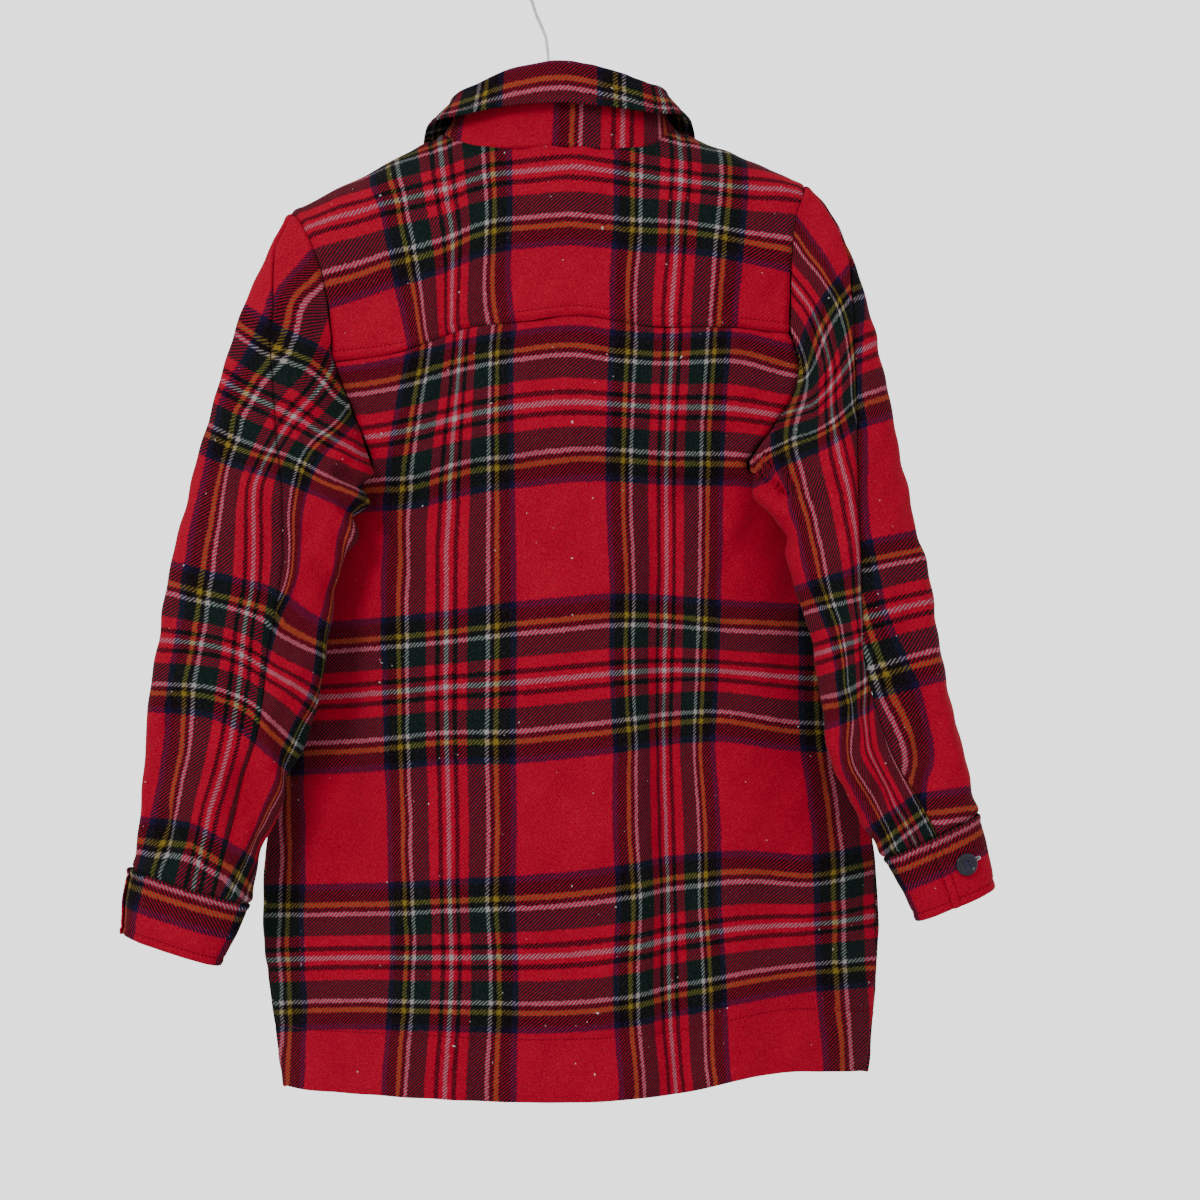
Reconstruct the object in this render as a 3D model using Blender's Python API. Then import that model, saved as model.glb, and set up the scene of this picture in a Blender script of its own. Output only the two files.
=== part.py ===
"""Mackinaw jacket hung on a wire hanger, seen with its back towards +Y.

Sizes are millimetres in the tables and metres in the model. The origin is the inner top of the
hanger's hook, where it rests on a rail. +Z is up, the front of the jacket faces -Y and the
wearer's left is +X. Every cloth piece is a thin shell between its seams.
"""
import math

import bpy
import numpy as np
from mathutils import Matrix, Vector

MM = 0.001

# Driving sizes, millimetres
WALL = 2.0                # thickness of the brushed wool cloth
SEAM_GAP = 0.3            # space between two neighbouring pieces at a seam
RIDGE_ROUND = 15.0        # how round the cloth lies over the shoulder
BACK_DEPTH = 52.0         # depth of the upper back behind the shoulder line
FRONT_DEPTH = 45.0        # depth of the front before the shoulder line
FORWARD_SEAM = 28.0       # shoulder seam of the fronts, before the shoulder line
FRONT_EDGE = 15.0         # half of the overlap of the two fronts
UNDERLAP = 2.7            # the right front lies this far inside the left one
CUFF_LAP = 2.9            # the lapped end of a cuff lies this far over the other end
BUTTON_ROUND = 18.0       # diameter of a button
WIRE = 3.0                # diameter of the hanger wire
HOOK_INNER = 21.3         # inner radius of the hook

# Shoulder line: across, height
SHOULDER = [
    (-222, -192), (-205, -183), (-150, -160), (-95, -137), (-50, -119), (0, -109),
    (50, -120), (95, -143), (150, -171), (218, -206), (232, -214),
]
# Yoke seam on the back: across, height
YOKE_SEAM = [(-189, -308), (-150, -304), (-76, -303), (-14, -295), (28, -300), (67, -304),
             (126, -324), (180, -331)]
# Hem: across, height
HEM = [(-257, -910), (-222, -911), (-180, -912), (-139, -919), (-120, -925), (-62, -935),
       (40, -937), (134, -931), (190, -927), (225, -922)]
# Armholes over the shoulder: distance behind the shoulder line, left across, right across
ARMHOLE_TOP = [(-28, 214, -203), (0, 218, -205), (25, 210, -202), (50, 201, -196), (82, 191, -192),
               (126, 183, -190), (171, 180, -189)]
# Side of the back, yoke seam to hem: part of the length, left x y z, right x y z
SIDE = [
    (0.00, 180, 34, -331, -189, 33, -308),
    (0.06, 166, 35, -366, -198, 34, -346),
    (0.10, 156, 36, -392, -184, 36, -374),
    (0.14, 149, 33, -414, -155, 34, -412),
    (0.155, 160, 25, -426, -167, 26, -425),
    (0.17, 174, 15, -435, -181, 15, -435),
    (0.20, 190, 4, -455, -197, 4, -455),
    (0.25, 202, -4, -484, -210, -4, -482),
    (0.32, 210, -6, -524, -222, -6, -522),
    (0.45, 220, -6, -600, -240, -6, -596),
    (0.60, 235, -6, -690, -256, -6, -682),
    (0.75, 242, -6, -778, -265, -6, -770),
    (0.90, 233, -6, -864, -262, -6, -852),
    (1.00, 225, -6, -922, -257, -6, -910),
]
BACK_ROWS = [0, 0.035, 0.07, 0.105, 0.14, 0.155, 0.17, 0.20, 0.235, 0.275, 0.32, 0.38, 0.44, 0.50, 0.56,
             0.62, 0.69, 0.76, 0.83, 0.90, 0.96, 1.0]
UNDERARM_ROW = 6
# Depth at the centre: part of the length, back y, front y
CENTRE_DEPTH = [(0, 51, -44), (0.2, 52, -45), (0.4, 54, -46), (0.7, 57, -47), (1.0, 58, -48)]
# Front armhole, underarm up to the shoulder seam: left x y z, right x y z
FRONT_ARMHOLE = [
    (184, 2, -422, -190, 2, -420),
    (188, -12, -401, -193, -12, -397),
    (186, -22, -370, -191, -22, -362),
    (184, -28, -336, -189, -28, -327),
    (184, -30, -303, -189, -30, -290),
    (190, -28, -272, -192, -28, -256),
    (201, -23, -243, -197, -23, -224),
]
# Front edge and neckline from the underarm row up: across (left front), y, z
FRONT_INNER = [
    (-15, -45, -430), (-15, -45, -360), (-15, -45, -290), (-15, -45, -222), (0, -45, -221),
    (30, -44, -217), (58, -41, -204), (79, -34, -183),
]
# Neckline over the yoke: across, distance behind the shoulder line
NECKLINE = [(-97, -28), (-97, -7), (-92, 17), (-77, 42), (-48, 60), (-6, 68), (36, 62), (68, 44),
            (86, 19), (92, -6), (93, -28)]

# Soft folds of the back: from x z, to x z, height, half width
BACK_FOLDS = [
    (-92, -450, -104, -930, -7, 27),
    (-138, -520, -150, -930, 5, 26),
    (-48, -600, -56, -930, 4, 22),
    (40, -560, 52, -930, -4, 24),
    (96, -620, 110, -930, 4, 22),
    (168, -540, 176, -930, -5, 18),
    (134, -405, 60, -470, -4, 15),
    (-140, -405, -80, -460, -4, 15),
]

# Sleeves, armhole to cuff: outer x z y, inner x z y, back depth, front depth, underarm fullness,
# fullness beside the back of the armhole
LEFT_SLEEVE = [
    (218, -206, 0, 148, -414, 33, 14, 18, 0, 0),
    (229, -224, 9, 146, -424, 42, 20, 22, 40, 0),
    (240, -249, 17, 147, -438, 46, 23, 24, 44, 0),
    (251, -280, 24, 152, -453, 48, 26, 25, 40, 0),
    (262, -315, 31, 158, -470, 50, 27, 25, 30, 0),
    (273, -355, 37, 163, -491, 51, 28, 24, 20, 0),
    (286, -400, 42, 170, -513, 52, 28, 23, 12, 0),
    (297, -445, 46, 176, -537, 53, 28, 23, 6, 0),
    (307, -490, 49, 180, -562, 53, 28, 23, 0, 0),
    (316, -535, 50, 185, -588, 53, 28, 23, 0, 0),
    (322, -580, 50, 193, -617, 52, 28, 23, 0, 0),
    (327, -622, 49, 206, -650, 51, 27, 23, 0, 0),
    (330, -662, 47, 222, -690, 50, 27, 23, 0, 0),
    (334, -701, 45, 235, -729, 48, 26, 22, 0, 0),
    (341, -739, 43, 246, -768, 46, 24, 20, 0, 0),
]
RIGHT_SLEEVE = [
    (-205, -183, 0, -154, -412, 33, 14, 18, 0, 0),
    (-218, -199, 9, -152, -422, 42, 20, 22, 40, 22),
    (-232, -222, 17, -157, -436, 46, 23, 24, 44, 19),
    (-243, -250, 24, -165, -450, 48, 26, 25, 40, 14),
    (-252, -282, 31, -172, -464, 50, 27, 25, 30, 9),
    (-260, -318, 37, -180, -480, 51, 28, 24, 20, 4),
    (-268, -358, 42, -187, -498, 52, 28, 23, 12, 0),
    (-277, -401, 46, -194, -520, 53, 28, 23, 6, 0),
    (-286, -445, 49, -202, -545, 53, 28, 23, 0, 0),
    (-295, -488, 50, -208, -572, 53, 28, 23, 0, 0),
    (-303, -530, 50, -212, -600, 52, 28, 23, 0, 0),
    (-311, -572, 49, -217, -632, 51, 27, 23, 0, 0),
    (-320, -613, 47, -226, -664, 50, 27, 23, 0, 0),
    (-331, -654, 45, -246, -697, 48, 26, 22, 0, 0),
    (-341, -695, 43, -264, -731, 46, 24, 20, 0, 0),
]
# Sleeve folds: part of the length from and to, angle from and to, height, half width
LEFT_SLEEVE_FOLDS = [
    (0.10, 0.96, 78, 84, 4, 16),
    (0.12, 0.45, 128, 150, -4, 18),
    (0.62, 0.86, 130, 100, 3, 14),
    (0.74, 0.99, 50, 34, -5, 12),
    (0.80, 0.99, 120, 112, -4, 14),
]
RIGHT_SLEEVE_FOLDS = [
    (0.08, 0.90, 96, 112, 4, 16),
    (0.10, 0.40, 140, 156, -4, 16),
    (0.60, 0.90, 50, 72, -4, 15),
    (0.70, 0.97, 34, 28, 4, 14),
    (0.76, 0.98, 138, 122, -4, 14),
]
# Cuffs: outer x z y, inner x z y, back depth, front depth
LEFT_CUFF = [
    (341, -739, 43, 246, -768, 46, 24, 20),
    (346, -766, 42, 256, -792, 45, 23, 19),
    (347, -791, 41, 269, -816, 44, 22, 18),
]
RIGHT_CUFF = [
    (-341, -695, 43, -264, -731, 46, 24, 20),
    (-348, -724, 42, -279, -757, 45, 23, 19),
    (-353, -753, 41, -290, -780, 44, 22, 18),
]
# Collar from the centre back to the front end: part of the way, stand height, fold height,
# leaf edge outwards, leaf edge height, inward lean, leaf shift away from the front opening
COLLAR = [
    (0.00, 47, 69, 9, 34, 4, 0),
    (0.14, 44, 65, 9, 33, 5, 0),
    (0.28, 31, 50, 11, 24, 8, 0),
    (0.42, 17, 30, 15, 7, 10, 0),
    (0.56, 14, 25, 17, -5, 9, 0),
    (0.75, 15, 25, 16, -24, 7, 8),
    (1.00, 16, 25, 13, -46, 5, 34),
]
# Hanger loop from the neck down the left arm, along the lower bar and up the right arm
HANGER_LOOP = [
    (2, -130), (14, -128), (50, -134), (93, -148.6), (110, -156), (130, -166.3), (150, -176.4),
    (165, -183.9), (178, -190.4), (190, -196.7), (198, -202), (202, -208.5), (199, -215.5), (190, -219),
    (0, -211), (-178, -200), (-188, -197.5), (-192, -191), (-189, -183.5), (-178, -176), (-165, -171),
    (-150, -165), (-130, -156.7), (-110, -148.4), (-96, -144), (-50, -132), (-12, -127),
]
# Front buttons: height on the centre front
FRONT_BUTTONS = [-248, -372, -496, -620, -744]

RED = (0.42, 0.004, 0.012, 1)
NAVY = (0.012, 0.014, 0.04, 1)
STEEL = (0.42, 0.43, 0.45, 1)


def column(table, index):
    """One named column of a table."""
    return np.array([row[index] for row in table], float)


def smooth(where, knots, values):
    """Smooth curve through the values given at the knots."""
    knots = np.asarray(knots, float)
    values = np.asarray(values, float)
    where = np.clip(np.asarray(where, float), knots[0], knots[-1])
    slope = np.gradient(values, knots, axis=0)
    left = np.clip(np.searchsorted(knots, where, side="right") - 1, 0, len(knots) - 2)
    step = knots[left + 1] - knots[left]
    part = (where - knots[left]) / step
    if values.ndim > 1:
        step = step[..., None]
        part = part[..., None]
    start = (1 + 2 * part) * (1 - part) ** 2 * values[left] + part * (1 - part) ** 2 * step * slope[left]
    stop = part ** 2 * (3 - 2 * part) * values[left + 1] + part ** 2 * (part - 1) * step * slope[left + 1]
    return start + stop


def ease(value):
    """Soft step from 0 to 1."""
    value = np.clip(value, 0, 1)
    return value * value * (3 - 2 * value)


def unit(vectors):
    """Vectors of length one."""
    length = np.linalg.norm(vectors, axis=-1, keepdims=True)
    return vectors / np.maximum(length, 1e-9)


def shoulder_height(across):
    """Height of the shoulder line."""
    return smooth(across, column(SHOULDER, 0), column(SHOULDER, 1))


def over_shoulder(across, behind):
    """Point of the cloth a distance behind (or before) the shoulder line."""
    across, behind = np.broadcast_arrays(np.asarray(across, float), np.asarray(behind, float))
    full = np.where(behind > 0, BACK_DEPTH, FRONT_DEPTH)
    full = full - 17 * np.minimum(np.abs(across) / 190, 1.2) ** 2
    away = np.abs(behind)
    y = np.sign(behind) * full * (1 - np.exp(-away / full))
    drop = away ** 2 / (away + 2 * RIDGE_ROUND)
    return np.stack([across, y, shoulder_height(across) - drop], axis=-1)


def behind_at(across, height):
    """Distance behind the shoulder line at which the cloth has a height."""
    drop = shoulder_height(across) - height
    return (drop + np.sqrt(drop ** 2 + 8 * RIDGE_ROUND * drop)) / 2


def side_point(part, first):
    """Point of the left (first = 1) or right (first = 4) side of the back."""
    return smooth(part, column(SIDE, 0), np.array([row[first:first + 3] for row in SIDE], float))


def bulge(across):
    """Share of the full depth, from 0 at the sides (-1 and 1) to 1 at the centre."""
    return np.clip(1 - np.abs(across) ** 2.4, 0, 1) ** 0.8


def fold_height(x, z, folds):
    """Height of the soft folds at a place: a bell across each line, faded at its ends."""
    total = np.zeros_like(x)
    for x0, z0, x1, z1, height, width in folds:
        along = np.array([x1 - x0, z1 - z0], float)
        length = np.hypot(along[0], along[1])
        part = ((x - x0) * along[0] + (z - z0) * along[1]) / length ** 2
        beside = ((x - x0) * along[1] - (z - z0) * along[0]) / length
        fade = ease((part + 0.1) / 0.35) * ease((1.25 - part) / 0.25)
        total += height * fade * np.exp(-(beside / width) ** 2)
    return total


# Columns of the back and yoke along the yoke seam, dense under the shoulders
BACK_START = np.interp(np.arange(25), [0, 7, 17, 24], [-189, -128, 121, 180])
ACROSS_BACK = (BACK_START + 189) / (180 + 189)


def yoke_seam_points():
    """Points of the yoke seam from right to left."""
    height = smooth(BACK_START, column(YOKE_SEAM, 0), column(YOKE_SEAM, 1))
    return over_shoulder(BACK_START, behind_at(BACK_START, height))


def back_surface():
    """Grid of the back: right to left, yoke seam to hem."""
    part = np.array(BACK_ROWS)[None, :]
    share = ACROSS_BACK[:, None]
    left = side_point(part, 1)
    right = side_point(part, 4)
    seam = yoke_seam_points()
    left = left + (1 - ease(part / 0.06))[..., None] * (seam[-1] - left[:, :1])
    right = right + (1 - ease(part / 0.06))[..., None] * (seam[0] - right[:, :1])
    side = right + share[..., None] * (left - right)
    hem_x = -257 + share * (225 + 257)
    hem = smooth(hem_x, column(HEM, 0), column(HEM, 1))
    middle = (1 - part) * seam[:, 2][:, None] + part * hem
    off_right = right[..., 2] - middle[:1, :]
    off_left = left[..., 2] - middle[-1:, :]
    z = middle + (1 - share) * off_right + share * off_left
    deep = smooth(part, column(CENTRE_DEPTH, 0), column(CENTRE_DEPTH, 1))
    round_y = side[..., 1] + (deep - side[..., 1]) * bulge(2 * share - 1)
    start = seam[:, 1][:, None] + side[..., 1] - side[:, :1, 1]
    turn = ease(part / 0.28)
    y = (1 - turn) * start + turn * round_y
    x = side[..., 0] + 0 * y
    edge = 1 - np.abs(2 * share - 1) ** 6
    y = y + fold_height(x, z, BACK_FOLDS) * edge * ease(part / 0.12)
    return np.stack([x, y, z], axis=-1)


def armhole_top(behind, first):
    """Points of an armhole over the shoulder, left (first = 1) or right (first = 2)."""
    across = smooth(behind, column(ARMHOLE_TOP, 0), column(ARMHOLE_TOP, first))
    return np.stack([across, behind], axis=-1)


def yoke_surface():
    """Grid of the yoke: right to left, yoke seam over the shoulder to the front seam and neck."""
    rows = np.linspace(0, 1, 15)
    rows = 0.5 * rows + 0.5 * (1 - (1 - rows) ** 1.6)
    height = smooth(BACK_START, column(YOKE_SEAM, 0), column(YOKE_SEAM, 1))
    bottom = np.stack([BACK_START, behind_at(BACK_START, height)], axis=-1)
    neck_share = np.linspace(0, 1, 11)
    neck = smooth(neck_share, np.linspace(0, 1, len(NECKLINE)), np.array(NECKLINE, float))
    right_seam = np.linspace(-203, -97, 8)[:-1]
    left_seam = np.linspace(93, 214, 8)[1:]
    top = np.concatenate([
        np.stack([right_seam, np.full(7, -FORWARD_SEAM)], axis=-1), neck,
        np.stack([left_seam, np.full(7, -FORWARD_SEAM)], axis=-1)])
    right = armhole_top(bottom[0, 1] + rows * (-FORWARD_SEAM - bottom[0, 1]), 2)
    left = armhole_top(bottom[-1, 1] + rows * (-FORWARD_SEAM - bottom[-1, 1]), 1)
    right[:, 0] += (bottom[0, 0] - right[0, 0]) * (1 - rows) ** 2
    left[:, 0] += (bottom[-1, 0] - left[0, 0]) * (1 - rows) ** 2
    share = ((BACK_START - BACK_START[0]) / (BACK_START[-1] - BACK_START[0]))[:, None, None]
    row = rows[None, :, None]
    plain = (1 - row) * bottom[:, None] + row * top[:, None]
    flat = plain + (1 - share) * (right[None] - plain[:1]) + share * (left[None] - plain[-1:])
    return over_shoulder(flat[..., 0], flat[..., 1])


def front_surface(left_side, back, yoke):
    """Grid of a front: side to front edge, shoulder seam down to the hem."""
    sign = 1 if left_side else -1
    first = 1 if left_side else 4
    side = back[-1] if left_side else back[0]
    other = back[0] if left_side else back[-1]
    share = np.linspace(0, 1, 15)
    share = 0.75 * share + 0.25 * (0.5 - 0.5 * np.cos(math.pi * share))
    part = np.array(BACK_ROWS)[UNDERARM_ROW:]
    edge = side[UNDERARM_ROW:]
    far = other[UNDERARM_ROW:]
    x = edge[None, :, 0] + share[:, None] * (-sign * FRONT_EDGE - edge[None, :, 0])
    middle = (edge[:, 0] + far[:, 0]) / 2
    half = np.abs(edge[:, 0] - far[:, 0]) / 2
    deep = smooth(part, column(CENTRE_DEPTH, 0), column(CENTRE_DEPTH, 2))
    y = edge[None, :, 1] + (deep - edge[:, 1])[None] * bulge((x - middle) / half)
    centre_z = -430 - (part - part[0]) / (1 - part[0]) * (926 - 430)
    z = edge[None, :, 2] + ease(share)[:, None] * (centre_z - edge[:, 2])[None]
    lower = np.stack([x, y, z], axis=-1)

    outer = np.array([row[first - 1:first + 2] for row in FRONT_ARMHOLE], float)
    inner = np.array(FRONT_INNER, float)
    inner[:, 0] *= sign
    seam = yoke[:16:-1, -1] if left_side else yoke[:8, -1]
    top = np.stack([np.interp(np.linspace(0, 7, 15), np.arange(8), seam[:, k]) for k in range(3)], axis=-1)
    outer = np.concatenate([lower[:1, 0], outer, top[:1]])
    inner = np.concatenate([inner, top[-1:]])
    inner[0] = lower[-1, 0]
    row = np.linspace(0, 1, 9)[None, :, None]
    across = share[:, None, None]
    ends = (1 - across) * outer[None] + across * inner[None]
    base = lower[:, :1]
    tip = top[:, None]
    upper = ends + (1 - row) * (base - ends[:, :1]) + row * (tip - ends[:, -1:])
    grid = np.concatenate([upper[:, ::-1], lower[:, 1:]], axis=1)
    centre = smooth(grid[..., 2], [-930, -430, -222, -150], [-48, -46, -45, -44])
    grid[..., 1] += (centre - grid[..., 1]) * ease((48 - np.abs(grid[..., 0])) / 26)
    if not left_side:
        grid[..., 1] += UNDERLAP * ease((grid[..., 0] + 75) / 50)
    return grid


def armhole_loop(yoke, back, front, left_side):
    """Closed armhole: front seam over the shoulder, down the back, up the front."""
    column_index = -1 if left_side else 0
    top = yoke[column_index, ::-1]
    behind = back[column_index, 1:UNDERARM_ROW + 1]
    before = front[0, 1:8][::-1]
    return np.concatenate([top, behind, before])


def ring_angles(loop, top_index, tip_index):
    """Angle of every loop point: 0 at the shoulder, half a turn at the underarm fold."""
    closed = np.concatenate([loop, loop[:1]])
    step = np.linalg.norm(np.diff(closed, axis=0), axis=1)
    way = np.concatenate([[0], np.cumsum(step)])
    total = way[-1]
    way = way[:-1] - way[top_index]
    fold = way[tip_index]
    before = (way < 0)
    angle = np.where(way <= fold, way / fold * math.pi, 0)
    front_length = total - fold
    angle = np.where(way > fold, math.pi + (way - fold) / front_length * math.pi, angle)
    return np.where(before, way / front_length * math.pi, angle)


def ring(rows, angle):
    """Flattened rings: a rounded section between the outer and the inner edge of each row."""
    rows = np.asarray(rows, float)
    outer = rows[:, [0, 2, 1]]
    inner = rows[:, [3, 5, 4]]
    middle = (outer + inner) / 2
    half = (outer - inner) / 2
    cos = np.cos(angle)
    sin = np.sin(angle)
    cos = np.sign(cos) * np.abs(cos) ** 0.92
    depth = np.where(sin > 0, rows[:, 6], rows[:, 7]) * np.sign(sin) * np.abs(sin) ** 0.85
    place = middle[None] + cos[..., None] * half[None]
    place[..., 1] += depth
    return place


def sleeve_surface(table, folds, loop, top_index, tip_index):
    """Grid of a sleeve: round the armhole loop, armhole to cuff."""
    count = len(table)
    start = ring_angles(loop, top_index, tip_index)
    even = np.interp(np.arange(len(loop)), [0, top_index, tip_index, len(loop)],
                     [start[0], 0, math.pi, start[0] + 2 * math.pi])
    mix = ease(np.arange(count) / 8)[None, :]
    angle = (1 - mix) * start[:, None] + mix * even[:, None]
    place = ring(table, angle)
    outward = np.sign(table[0][0])
    full = column(table, 8) * np.exp(-((np.mod(angle, 2 * math.pi) - 1.27 * math.pi) / 0.62) ** 2)
    place[..., 0] += outward * 0.85 * full
    place[..., 2] -= 0.5 * full
    place[..., 0] += outward * column(table, 9) * np.exp(-((angle - 0.6 * math.pi) / 0.7) ** 2)
    way = np.arange(count) / (count - 1)
    degrees = np.degrees(angle)
    for start_part, stop_part, angle0, angle1, height, width in folds:
        share = (way - start_part) / (stop_part - start_part)
        centre = angle0 + np.clip(share, 0, 1) * (angle1 - angle0)
        fade = ease((share + 0.1) / 0.3) * ease((1.15 - share) / 0.3)
        place[..., 1] += height * fade[None] * np.exp(-((degrees - centre[None]) / width) ** 2)
    blend = 1 - np.clip(1 - np.arange(count) / 3, 0, 1) ** 1.5
    blend = blend[None, :, None]
    return (1 - blend) * loop[:, None] + blend * place


def cuff_surface(table, lap_angle):
    """Grid of a cuff strip: from the covered end round the wrist to the lapped end, top to bottom."""
    lap = math.radians(38)
    turn = np.linspace(0, 2 * math.pi + lap, 31)
    angle = lap_angle - lap + turn
    levels = np.linspace(0, 1, 5)
    rows = smooth(levels, np.linspace(0, 1, len(table)), np.array(table, float))
    place = ring(rows, np.repeat(angle[:, None], len(levels), axis=1))
    tube = np.stack([np.gradient(place[..., k], axis=0) for k in range(3)], axis=-1)
    down = np.stack([np.gradient(place[..., k], axis=1) for k in range(3)], axis=-1)
    normal = unit(np.cross(tube, down)) * -np.sign(table[0][0])
    rise = ease((turn - 2 * math.pi + 1.1) / 1.0)
    place = place + normal * (CUFF_LAP * rise)[:, None, None]
    place[..., 2] -= SEAM_GAP
    return place


def neck_points(left, yoke, right):
    """Neckline from the left front end round the back to the right front end."""
    left_part = left[-1, :5][::-1]
    right_part = right[-1, :5]
    line = np.concatenate([left_part, yoke[7:18, -1][::-1][1:-1], right_part])
    return line


def collar_frames(line):
    """Part of the way from centre back to each front end, outward direction and height table."""
    step = np.concatenate([[0], np.cumsum(np.linalg.norm(np.diff(line, axis=0), axis=1))])
    back = np.argmin(np.abs(line[:, 0] + 6) + (line[:, 1] < 0) * 999)
    way = np.where(step < step[back], (step[back] - step) / step[back],
                   (step - step[back]) / (step[-1] - step[back]))
    centre = np.array([-3, -6, 0])
    away = (line - centre) * np.array([0.8, 1.7, 0])
    rows = smooth(way, column(COLLAR, 0), np.array([row[1:] for row in COLLAR], float))
    side = np.where(np.arange(len(line)) < back, 1, -1)
    return unit(away), rows, side


def stand_surface(line):
    """Grid of the collar stand: left front end to right front end, seam up to the leaf."""
    out, rows, side = collar_frames(line)
    level = np.linspace(0, 1, 4)[None, :]
    place = np.repeat(line[:, None], 4, axis=1)
    lean = rows[:, 4][:, None] * level ** 1.3
    place = place - out[:, None] * lean[..., None]
    place[..., 2] += rows[:, 0][:, None] * level
    return place


def leaf_surface(line):
    """Grid of the collar leaf: left to right, stand seam up over the fold and down to the edge."""
    out, rows, side = collar_frames(line)
    stand, fold, edge_out, edge_up, lean, slide = rows.T
    bend = 4.6
    base = -lean - WALL
    ahead = [base, base - 0.4, base - 0.4, base - 0.4 + bend * 0.3, base - 0.4 + bend,
             base - 0.4 + bend * 1.75, base + bend * 2.1]
    height = [stand + SEAM_GAP, (stand + fold - bend) / 2, fold - bend, fold - bend * 0.3, fold,
              fold - bend * 0.35, fold - bend * 1.3]
    shift = [0 * fold] * 7
    for share in (0.25, 0.5, 0.75, 1.0):
        ahead.append((1 - share) * (base + bend * 2.1) + share * edge_out)
        height.append((1 - share) * (fold - bend * 1.3) + share * edge_up)
        shift.append(share * slide)
    ahead = np.stack(ahead, axis=1)
    height = np.stack(height, axis=1)
    shift = np.stack(shift, axis=1)
    place = np.repeat(line[:, None], ahead.shape[1], axis=1) + out[:, None] * ahead[..., None]
    place[..., 2] += height
    place[..., 0] += side[:, None] * shift
    return place


# Pieces of cloth are gathered first and cut from one another afterwards
CLOTH = []


def add_cloth(name, grid, turn, seams):
    """Keep a grid; seams names the sides (start, stop, top, bottom) that meet another piece."""
    du = np.gradient(grid, axis=0)
    dv = np.gradient(grid, axis=1)
    normal = unit(np.cross(du, dv)) * turn
    soft = normal.copy()
    soft[1:-1] += 0.5 * (normal[2:] + normal[:-2])
    soft[:, 1:-1] += 0.5 * (normal[:, 2:] + normal[:, :-2])
    CLOTH.append({"name": name, "grid": grid, "normal": unit(soft), "seams": seams, "turn": turn})


SIDES = {
    "start": (slice(0, 1), slice(None), 0, 1),
    "stop": (slice(-1, None), slice(None), 0, -1),
    "top": (slice(None), slice(0, 1), 1, 1),
    "bottom": (slice(None), slice(-1, None), 1, -1),
}


def seam_points(piece):
    """Places and normals of all seam vertices of a piece."""
    places = []
    normals = []
    for side in piece["seams"]:
        first, second, _, _ = SIDES[side]
        places.append(piece["grid"][first, second].reshape(-1, 3))
        normals.append(piece["normal"][first, second].reshape(-1, 3))
    return np.concatenate(places), np.concatenate(normals)


def shared_normals():
    """Mean outward direction of all pieces that meet at each seam vertex."""
    for piece in CLOTH:
        piece["shared"] = piece["normal"].copy()
        for side in piece["seams"]:
            first, second, _, _ = SIDES[side]
            places = piece["grid"][first, second].reshape(-1, 3)
            found = [piece["normal"][first, second].reshape(-1, 3)]
            for other in CLOTH:
                if other is piece or not other["seams"]:
                    continue
                spots, directions = seam_points(other)
                gap = np.linalg.norm(places[:, None] - spots[None], axis=-1)
                meets = gap.min(axis=1) < 0.02
                lone = ~meets & np.roll(meets, 1) & np.roll(meets, -1)
                facing = directions[gap.argmin(axis=1)] * meets[:, None]
                between = 0.5 * (np.roll(facing, 1, axis=0) + np.roll(facing, -1, axis=0))
                found.append(np.where(lone[:, None], between, facing))
            found = np.array(found)
            alike = np.einsum("anx,bnx->abn", unit(found), unit(found)) > 0.85
            share = 1 / np.maximum(alike.sum(axis=1), 1)
            total = (found * share[..., None]).sum(axis=0)
            shape = piece["grid"][first, second].shape
            piece["shared"][first, second] = unit(total).reshape(shape)


def cut_apart(piece):
    """Draw the seam sides back by half a seam gap and give the inner face of the cloth."""
    grid = piece["grid"]
    shared = piece["shared"]
    moved = grid.copy()
    at_seam = np.zeros(grid.shape[:2], bool)
    for side in piece["seams"]:
        first, second, axis, step = SIDES[side]
        along = unit(np.gradient(grid[first, second], axis=1 - axis))
        edge = grid[first, second]
        inside = np.take(grid, [1 if step > 0 else -2], axis=axis)
        into = inside - edge
        into -= along * (into * along).sum(axis=-1, keepdims=True)
        facing = shared[first, second]
        into -= facing * (into * facing).sum(axis=-1, keepdims=True)
        moved[first, second] += unit(into) * SEAM_GAP / 2
        at_seam[first, second] = True
    match = np.clip((shared * piece["normal"]).sum(axis=-1), 0.62, 1)
    reach = np.where(at_seam, WALL / match, WALL)[..., None]
    piece["outer"] = moved
    piece["inner"] = moved - np.where(at_seam[..., None], shared, piece["normal"]) * reach


def collection_named(name):
    """Collection of this name in the scene."""
    made = bpy.data.collections.new(name)
    bpy.context.scene.collection.children.link(made)
    return made


def material_named(name, colour, metal, rough):
    """Plain Principled material."""
    made = bpy.data.materials.new(name)
    made.use_nodes = True
    shader = made.node_tree.nodes["Principled BSDF"]
    shader.inputs["Base Color"].default_value = colour
    shader.inputs["Metallic"].default_value = metal
    shader.inputs["Roughness"].default_value = rough
    return made


def smooth_shade(thing):
    """Shade all faces smooth."""
    thing.data.polygons.foreach_set("use_smooth", [True] * len(thing.data.polygons))
    thing.data.update()


def split_quads(quads, first):
    """Two triangles for every quad, cut from its first corner where asked, else from its second."""
    order = np.where(first[:, None], quads, np.roll(quads, -1, axis=1))
    return np.concatenate([order[:, [0, 1, 2]], order[:, [0, 2, 3]]])


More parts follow.
